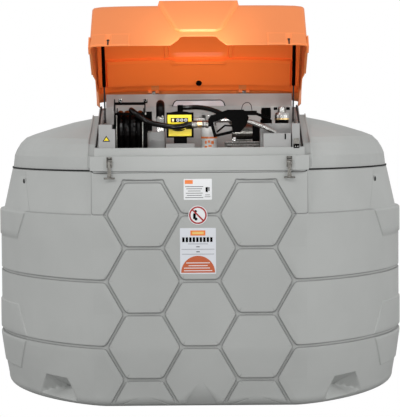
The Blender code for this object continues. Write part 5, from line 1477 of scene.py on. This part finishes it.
reelKit = {
    "straps": (((-0.447, 0.183, 0.2905), (-0.287, 0.1888, 0.3055), 0.002),
               ((-0.4445, 0.136, 0.237), (-0.2895, 0.1412, 0.2495), 0.002),
               ((-0.2925, 0.143, 0.032), (-0.2735, 0.147, 0.236), 0.0015)),
    "clamps": (((-0.4515, 0.133, 0.238), (-0.4445, 0.142, 0.262), 0.0025),
               ((-0.2865, 0.133, 0.238), (-0.2790, 0.142, 0.252), 0.0025),
               ((-0.4570, 0.136, 0.255), (-0.4520, 0.142, 0.268), 0.002)),
    "eyelets": (-0.417, -0.283),
}


def buildReelDetails(kit):
    lugs = [((x - 0.010, 0.184, 0.300), (x + 0.010, 0.1885, 0.3215), 0.002)
            for x in kit["eyelets"]]
    meshPiece("reel_straps", kitBoxes([*kit["straps"], *lugs]), "blackMoulded")
    rings = [kitRing((x, 0.1825, 0.3155), 0.0065, 0.0016) for x in kit["eyelets"]]
    meshPiece("reel_clamps", rings + kitBoxes(kit["clamps"]), "brightSteel")


meterKit = {
    "left": -0.171,
    "right": -0.031,
    "crownLow": 0.240,
    "crownSide": 0.244,
    "crownRise": 0.0125,
    "window": (-0.150, -0.058, 0.197, 0.221),
    "digitRings": (-0.1125, -0.0915, -0.0700),
    "mark": (-0.143, -0.133, 0.202, 0.216),
}


def buildMeterDetails(kit):
    left, right = kit["left"], kit["right"]
    x = np.linspace(right, left, 24)
    share = (x - (left + right) / 2) / ((right - left) / 2)
    arc = np.stack([x, kit["crownSide"] + kit["crownRise"] * (1 - share ** 2)], axis=-1)
    crown = [(right, kit["crownLow"]), *arc, (left, kit["crownLow"])]
    meshPiece("meter_crown", [frontShape(crown, 0.262, 0.0945)], "blackMoulded")
    turn = np.linspace(0, pi, 16)
    hang = np.stack([-0.109 + 0.034 * np.cos(turn), 0.1606 - 0.0105 * np.sin(turn)], axis=-1)
    meshPiece("meter_window", [frontShape(rectangle(*kit["window"]), 0.1665),
                               frontShape(hang, 0.1648)], "blackMoulded")
    meshPiece("meter_digits", [kitRing((x, 0.1650, 0.209), 0.0062, 0.0022)
                               for x in kit["digitRings"]], "plateWhite")
    meshPiece("meter_mark", [frontShape(rectangle(*kit["mark"]), 0.1655)], "brass")


# Nuts are (start, end, radius, sides) along the hose line; patches on the can are
# (turn from, turn to, low, high)
pumpKit = {
    "clamp": (-0.207, 0.265, 0.2235),
    "hoseLine": (0, 0.135, 0.186),
    "nuts": ((-0.035, -0.012, 0.0195, 6), (0.018, 0.026, 0.0185, 32), (0.033, 0.050, 0.0195, 6)),
    "fins": 9,
    "finPitch": 0.0108,
    "finStart": (0.186, 0.290, 0.145),
    "rails": (((0.137, 0.2275, 0.0855), (0.334, 0.2345, 0.0935), 0.002),
              ((0.150, 0.2275, 0.0700), (0.330, 0.2345, 0.0770), 0.002),
              ((0.178, 0.229, 0.094), (0.196, 0.235, 0.118), 0.002)),
    "can": (0.053, 0.260, 0.0436),
    "patches": ((-1.45, 1.45, 0.110, 0.1195), (-0.55, -0.30, 0.082, 0.098),
                (-0.15, 0.10, 0.088, 0.100), (0.25, 0.60, 0.080, 0.097),
                (-0.10, 0.30, 0.066, 0.075), (-0.60, -0.25, 0.062, 0.071)),
}


def canPatch(can, turnLow, turnHigh, low, high):
    # A thin curved patch on the front of the upright round can
    x, setBack, radius = can
    turn = np.linspace(turnLow, turnHigh, 10)[:, None]
    r = radius + np.array([0, 0.0004, 0.0004, 0])
    grid = np.stack(np.broadcast_arrays(x + r * np.sin(turn), setBack - r * np.cos(turn),
                                        np.array([low, low, high, high])), axis=-1)
    return cappedTube(inBay(grid))


def buildPumpDetails(kit):
    x, setBack, height = kit["clamp"]
    steel = [kitRing(kit["clamp"], 0.0235, 0.0028, (0, 0, 1), 32),
             stud((x - 0.010, setBack - 0.024, height), 0.0065, 0.007, 12),
             stud((x + 0.012, setBack - 0.022, height + 0.0055), 0.0055, 0.007, 12)]
    line = inBay(kit["hoseLine"])
    for start, end, radius, sides in kit["nuts"]:
        long = end - start
        nut = [(0.012, 0), (radius - 0.002, 0), (radius, 0.002), (radius, long - 0.002),
               (radius - 0.002, long), (0.012, long)]
        steel.append(turned(nut, line + (start, 0, 0), (1, 0, 0), sides))
    fin = [(0.030, 0), (0.0452, 0), (0.0452, 0.0022), (0.030, 0.0022)]
    for k in range(kit["fins"]):
        steel.append(turned(fin, inBay(kit["finStart"]) + (kit["finPitch"] * k, 0, 0), (1, 0, 0)))
    meshPiece("pump_hardware", steel, "zincSteel")
    sleeve = [(0.010, 0), (0.0178, 0), (0.0178, 0.022), (0.010, 0.022)]
    band = [(0.0393, 0), (0.0405, 0.001), (0.0405, 0.007), (0.0393, 0.008)]
    meshPiece("brass_rings", [turned(sleeve, line + (-0.008, 0, 0), (1, 0, 0), 28),
                              turned(band, inBay((0.4456, 0.330, 0.2070)), (0, 0, 1), 48)],
              "brass")
    meshPiece("base_rails", kitBoxes(kit["rails"]), "brightSteel")
    meshPiece("filter_band", [canPatch(kit["can"], *patch) for patch in kit["patches"]],
              "orangeSkin")


# Coils are (route, radius, wire, turns, steps in a turn)
nozzleKit = {
    "coils": (([(0.262, 0.135, 0.198), (0.295, 0.135, 0.1885), (0.333, 0.135, 0.1750)],
               0.0133, 0.0017, 11, 16),
              ([(0.084, 0.135, 0.2000), (0.100, 0.135, 0.2025), (0.118, 0.135, 0.2050)],
               0.0042, 0.0013, 6, 12)),
    "cable": [(0.2246, 0.135, 0.2605), (0.2290, 0.135, 0.2800), (0.2400, 0.135, 0.2950),
              (0.2600, 0.135, 0.2990), (0.2745, 0.135, 0.2860), (0.2800, 0.135, 0.2565)],
    "cableRadius": 0.0018,
}


def buildNozzleDetails(kit):
    meshPiece("nozzle_springs", [kitCoil(*coil) for coil in kit["coils"]], "brightSteel")
    cable = swept(smoothPath(inBay(kit["cable"]), 40), circle(kit["cableRadius"], 8),
                  up=(0, 1, 0))
    meshPiece("nozzle_cable", [cable], "rubberSkin")


capKit = {
    "grips": (((0.4020, 0.3220, 0.2590), (0.4220, 0.3380, 0.2745), 0.004),
              ((0.4690, 0.3220, 0.2590), (0.4890, 0.3380, 0.2745), 0.004)),
    "filler": (0.4456, 0.330),
    "vent": (0.3606, 0.330, 0.2150),
    "ventTeeth": 22,
    "ventRadii": (0.0268, 0.0243),
    "ventTall": 0.048,
    "lock": (((0.4925, 0.0300, 0.0590), (0.5235, 0.0340, 0.0810), 0.002),),
    "keySlot": (0.4474, 0.4545, 0.1050, 0.1340),
    "screws": (0.5032, 0.5152),
}


def buildCapDetails(kit):
    x, setBack, foot = kit["vent"]
    angle = np.linspace(0, 2 * pi, 2 * kit["ventTeeth"], endpoint=False)
    reach = np.tile(kit["ventRadii"], kit["ventTeeth"])
    teeth = np.stack([x + reach * np.cos(angle), setBack + reach * np.sin(angle)], axis=-1)
    grip = plate(teeth, kit["ventTall"],
                 lambda a, b, depth: inBay(np.stack([a, b, foot + depth], axis=-1)))
    meshPiece("cap_grips", kitBoxes(kit["grips"]) + [grip], "blackMoulded")
    slot = frontShape(rectangle(*kit["keySlot"]), 0.0500)
    meshPiece("lock_body", kitBoxes(kit["lock"]) + [slot], "blackMoulded")
    dome = [(0.0005, -0.002), (0.0040, -0.002), (0.0030, 0.0006), (0.0005, 0)]
    knob = [(0.0005, 0.008), (0.004, 0.007), (0.0065, 0.003), (0.0065, -0.008), (0.0005, -0.008)]
    screws = [turned(dome, inBay((x, 0.0295, 0.0680)), (0, -1, 0), 16) for x in kit["screws"]]
    screws.append(turned(knob, inBay((0.5080, 0.0415, 0.1030)), (0, 0, 1), 20))
    meshPiece("lock_screws", screws, "brightSteel")
    hub = [(0.0005, 0.2790), (0.010, 0.2780), (0.018, 0.2730), (0.022, 0.2620),
           (0.023, 0.2400), (0.0005, 0.2400)]
    meshPiece("cap_hub", [turned(hub, inBay((*kit["filler"], 0)), (0, 0, 1), 36)], "zincSteel")


# The rear wall leans back above the shelf: its set back is a line over the height
rearWindow = {
    "wallFoot": (0.283, 0.566),
    "wallLean": 0.4317,
    "panel": ((-0.1965, 0.2925), (-0.1700, 0.3380), (0.1780, 0.3380), (0.2170, 0.2925)),
    "arch": ((-0.1460, 0.2860), (-0.1420, 0.2960), (-0.1360, 0.3080), (-0.1240, 0.3168),
             (-0.1050, 0.3178), (0.0, 0.3178), (0.1050, 0.3178), (0.1220, 0.3168),
             (0.1340, 0.3080), (0.1395, 0.2960), (0.1430, 0.2860)),
    "rimRadius": 0.0026,
}


def buildRearWindow(setup):
    # Raised frame, narrow window and its rubber rim on the rear wall
    def onWall(x, height, depth):
        foot, setBack = setup["wallFoot"]
        return inBay(np.stack([x, setBack + setup["wallLean"] * (height - foot) - depth,
                               height], axis=-1))

    meshPiece("rear_panel", [plate(setup["panel"], 0.004, onWall)], "greySkin")
    arch = smoothPath(setup["arch"], 60)
    meshPiece("rear_window", [plate(arch, 0.0052, onWall)], "plateGrey")
    rim = swept(onWall(arch[:, 0], arch[:, 1], 0.0055), circle(setup["rimRadius"], 8),
                up=(0, 1, 0.2))
    meshPiece("rear_window_rim", [rim], "rubberSkin")


stickerSetup = {
    "place": (-0.4858, 0.1145),
    "tall": 0.030,
    "half": 0.0202,
    "faceShare": 0.62,
    "faceDrop": 0.0035,
}


def bayFaceAt(x, height):
    # Set back of the bay's surface that a line from the front meets
    bay = bpy.data.objects["pump_bay"]
    into = bay.matrix_world.inverted()
    start = into @ Vector((x, front - 0.1, bayFloor + height))
    way = (into.to_3x3() @ Vector((0, 1, 0))).normalized()
    found, place, _, _ = bay.ray_cast(start, way)
    return (bay.matrix_world @ place)[1] - front if found else 0.0503


def buildSticker(setup):
    # A yellow triangle with a black border
    x, height = setup["place"]
    half, rise = setup["half"], setup["tall"] / 2
    outer = np.array([(x - half, height - rise), (x + half, height - rise), (x, height + rise)])
    middle = np.array([x, height - setup["faceDrop"]])
    inner = middle + (outer - middle) * setup["faceShare"]
    setBack = bayFaceAt(x, height) - 0.0003
    meshPiece("sticker", [frontShape(outer, setBack, 0.0005)], "rubberSkin")
    meshPiece("sticker_face", [frontShape(inner, setBack - 0.0005, 0.0004)], "yellowFace")


latchKit = {
    "x": 0.469,
    "loop": ((-0.0125, -0.0185, 0.0030), (0.0125, -0.0165, 0.0075), 0.0009),
    "rivet": (0.009, -0.0166, 0.0135),
    "slots": ((-0.0035, 0.0035, -0.0560, -0.0270, 0.0015), (-0.0095, -0.0070, -0.0780, -0.0220),
              (0.0070, 0.0095, -0.0780, -0.0220)),
}


def buildLatchDetails(kit):
    # Dark loop, rivets and slots that give the two latches their light and dark
    low, high, radius = kit["loop"]
    across, setBack, height = kit["rivet"]
    rivet = [(0.0005, 0), (0.0032, 0), (0.0032, 0.0012), (0.0005, 0.0012)]
    for side, name in ((-1, "left"), (1, "right")):
        x = side * kit["x"]
        parts = kitBoxes([((x + low[0], *low[1:]), (x + high[0], *high[1:]), radius)])
        parts += [turned(rivet, inBay((x + dx, setBack, height)), (0, -1, 0), 14)
                  for dx in (-across, across)]
        meshPiece("latch_loop_" + name, parts, "darkGap")
        slots = [frontShape(rectangle(x + x0, x + x1, *rest), -0.0150, 0.0004)
                 for x0, x1, *rest in kit["slots"]]
        meshPiece("latch_slots_" + name, slots, "darkGap", body="latch_lever_" + name)


buildReelDetails(reelKit)
buildMeterDetails(meterKit)
buildPumpDetails(pumpKit)
buildNozzleDetails(nozzleKit)
buildCapDetails(capKit)
buildRearWindow(rearWindow)
buildSticker(stickerSetup)
buildLatchDetails(latchKit)
print("compartment details ready")


# Finishes of the CAD nodes that are kept, and the rounded edges of the moulded and cast ones

nodeFinishes = {
    "greySkin": ("tank_cover",),
    "greyBay": ("inner_tank", "pump_bay", "nozzle_holster"),
    "orangeLid": ("lid_hinge_left", "lid_hinge_right"),
    "zincSteel": ("hinge_left", "hinge_right", "strut_foot_left", "strut_foot_right",
                  "lid_stud_left", "lid_stud_right", "latch_plate_left", "latch_plate_right",
                  "latch_lever_left", "latch_lever_right", "reel_bars", "lid_lock",
                  "pump_motor", "pump_base"),
    "brightSteel": ("suction_fitting", "hose_swivel", "filter_head", "nozzle_spout",
                    "filler_cap"),
    "darkSteel": ("strut_rod_left", "strut_rod_right"),
    "blackMoulded": ("strut_cylinder_left", "strut_cylinder_right", "reel_frame", "reel_drum",
                     "meter_body", "terminal_box", "nozzle_body", "nozzle_trigger",
                     "filler_coupling", "vent_cap"),
    "hoseSkin": ("hose_winding", "pump_hose"),
    "rubberSkin": ("suction_bend",),
    "yellowFace": ("meter_face",),
    "whiteEnamel": ("filter_can",),
}
edgeWidths = {
    "tank_cover": 0.004, "pump_bay": 0.003, "meter_body": 0.005, "nozzle_body": 0.005,
    "nozzle_holster": 0.0015, "terminal_box": 0.002, "filter_can": 0.004, "pump_motor": 0.002,
}


def finishNodes(lists):
    for finish, nodes in lists.items():
        for node in nodes:
            mesh = bpy.data.objects[node].data
            mesh.materials.clear()
            mesh.materials.append(finishes[finish])


def softenEdges(widths):
    for node, width in widths.items():
        bevel = bpy.data.objects[node].modifiers.new("edge", "BEVEL")
        bevel.width = width
        bevel.segments = 2
        bevel.limit_method = "ANGLE"
        bevel.angle_limit = radians(35)
        bevel.harden_normals = False


supplyHose.data.materials.append(finishes["hoseSkin"])
finishNodes(nodeFinishes)
softenEdges(edgeWidths)
print("kept nodes finished")


# Studio: pale floor and room, soft lamps. glossShare is how bright the room is in gloss

studio = {
    "floorReach": 30.0,
    "worldStrength": 0.64,
    "glossShare": 0.5,
}
softLamps = {
    "keyLamp": {"place": (-3.0, -6.4, 5.4), "power": 141.0, "size": 1.6},
    "fillLamp": {"place": (4.0, -5.0, 3.0), "power": 80.0, "size": 4.0},
    "leftLamp": {"place": (-5.5, -2.6, 2.0), "power": 55.0, "size": 3.0},
    "rightLamp": {"place": (5.5, -2.6, 2.0), "power": 55.0, "size": 3.0},
}
spotLamps = {
    "lidLamp": {"place": (0.0, -7.0, 0.5), "aim": (0, -0.7, 2.12), "power": 540.0,
                "spot_size": radians(15.5), "spot_blend": 0.4, "shadow_soft_size": 0.4},
    "bayLamp": {"place": (0.0, -1.40, 1.98), "aim": (0, -0.5, 1.66), "power": 9.0,
                "spot_size": radians(84), "spot_blend": 0.4, "shadow_soft_size": 0.12},
}


def makeFloor(setup):
    # Grey to the light, white to the camera
    reach = setup["floorReach"]
    mesh = bpy.data.meshes.new("floor")
    mesh.from_pydata([(-reach, -reach, 0), (reach, -reach, 0), (reach, reach, 0),
                      (-reach, reach, 0)], [], [(0, 1, 2, 3)])
    floor = bpy.data.objects.new("floor", mesh)
    bpy.context.scene.collection.objects.link(floor)
    mat = bpy.data.materials.new("paleFloor")
    mat.use_nodes = True
    tree = mat.node_tree
    shader = tree.nodes["Principled BSDF"]
    feed(shader, {"Base Color": (0.5, 0.5, 0.5, 1), "Roughness": 0.9})
    glow = addNode(tree, "Emission", {"Strength": 1.0})
    seenBy = addNode(tree, "LightPath")
    blend = addNode(tree, "MixShader", {0: seenBy["Is Camera Ray"], 1: shader.outputs[0],
                                        2: glow[0]})
    feed(tree.nodes["Material Output"], {"Surface": blend[0]})
    tree.nodes.active = shader
    mesh.materials.append(mat)


def makeWorld(setup):
    # Even white light, and a white room to the camera, to gloss and through glass
    world = bpy.data.worlds.new("studio")
    bpy.context.scene.world = world
    world.use_nodes = True
    tree = world.node_tree
    plain = tree.nodes["Background"]
    feed(plain, {"Color": (1, 1, 1, 1), "Strength": setup["worldStrength"]})
    seen = addNode(tree, "Background", {"Color": (1, 1, 1, 1), "Strength": 1.0})
    path = addNode(tree, "LightPath")
    dim = addNode(tree, "Math", {0: path["Is Glossy Ray"], 1: setup["glossShare"]},
                  operation="MULTIPLY")
    either = addNode(tree, "Math", {0: path["Is Camera Ray"], 1: dim[0]}, operation="MAXIMUM")
    both = addNode(tree, "Math", {0: either[0], 1: path["Is Transmission Ray"]},
                   operation="MAXIMUM")
    mix = addNode(tree, "MixShader", {0: both[0], 1: plain.outputs[0], 2: seen[0]})
    feed(tree.nodes["World Output"], {"Surface": mix[0]})


def makeLamp(name, kind, place, power, aim=(0, 0, 1.0), **settings):
    data = bpy.data.lights.new(name, kind)
    data.energy = power
    for label, value in settings.items():
        setattr(data, label, value)
    lamp = bpy.data.objects.new(name, data)
    lamp.location = place
    lamp.rotation_euler = (Vector(aim) - Vector(place)).to_track_quat("-Z", "Y").to_euler()
    bpy.context.scene.collection.objects.link(lamp)


bpy.context.scene.view_settings.view_transform = "Standard"
makeFloor(studio)
makeWorld(studio)
for kind, lamps in (("AREA", softLamps), ("SPOT", spotLamps)):
    for name, settings in lamps.items():
        makeLamp(name, kind, **settings)
print("studio ready")
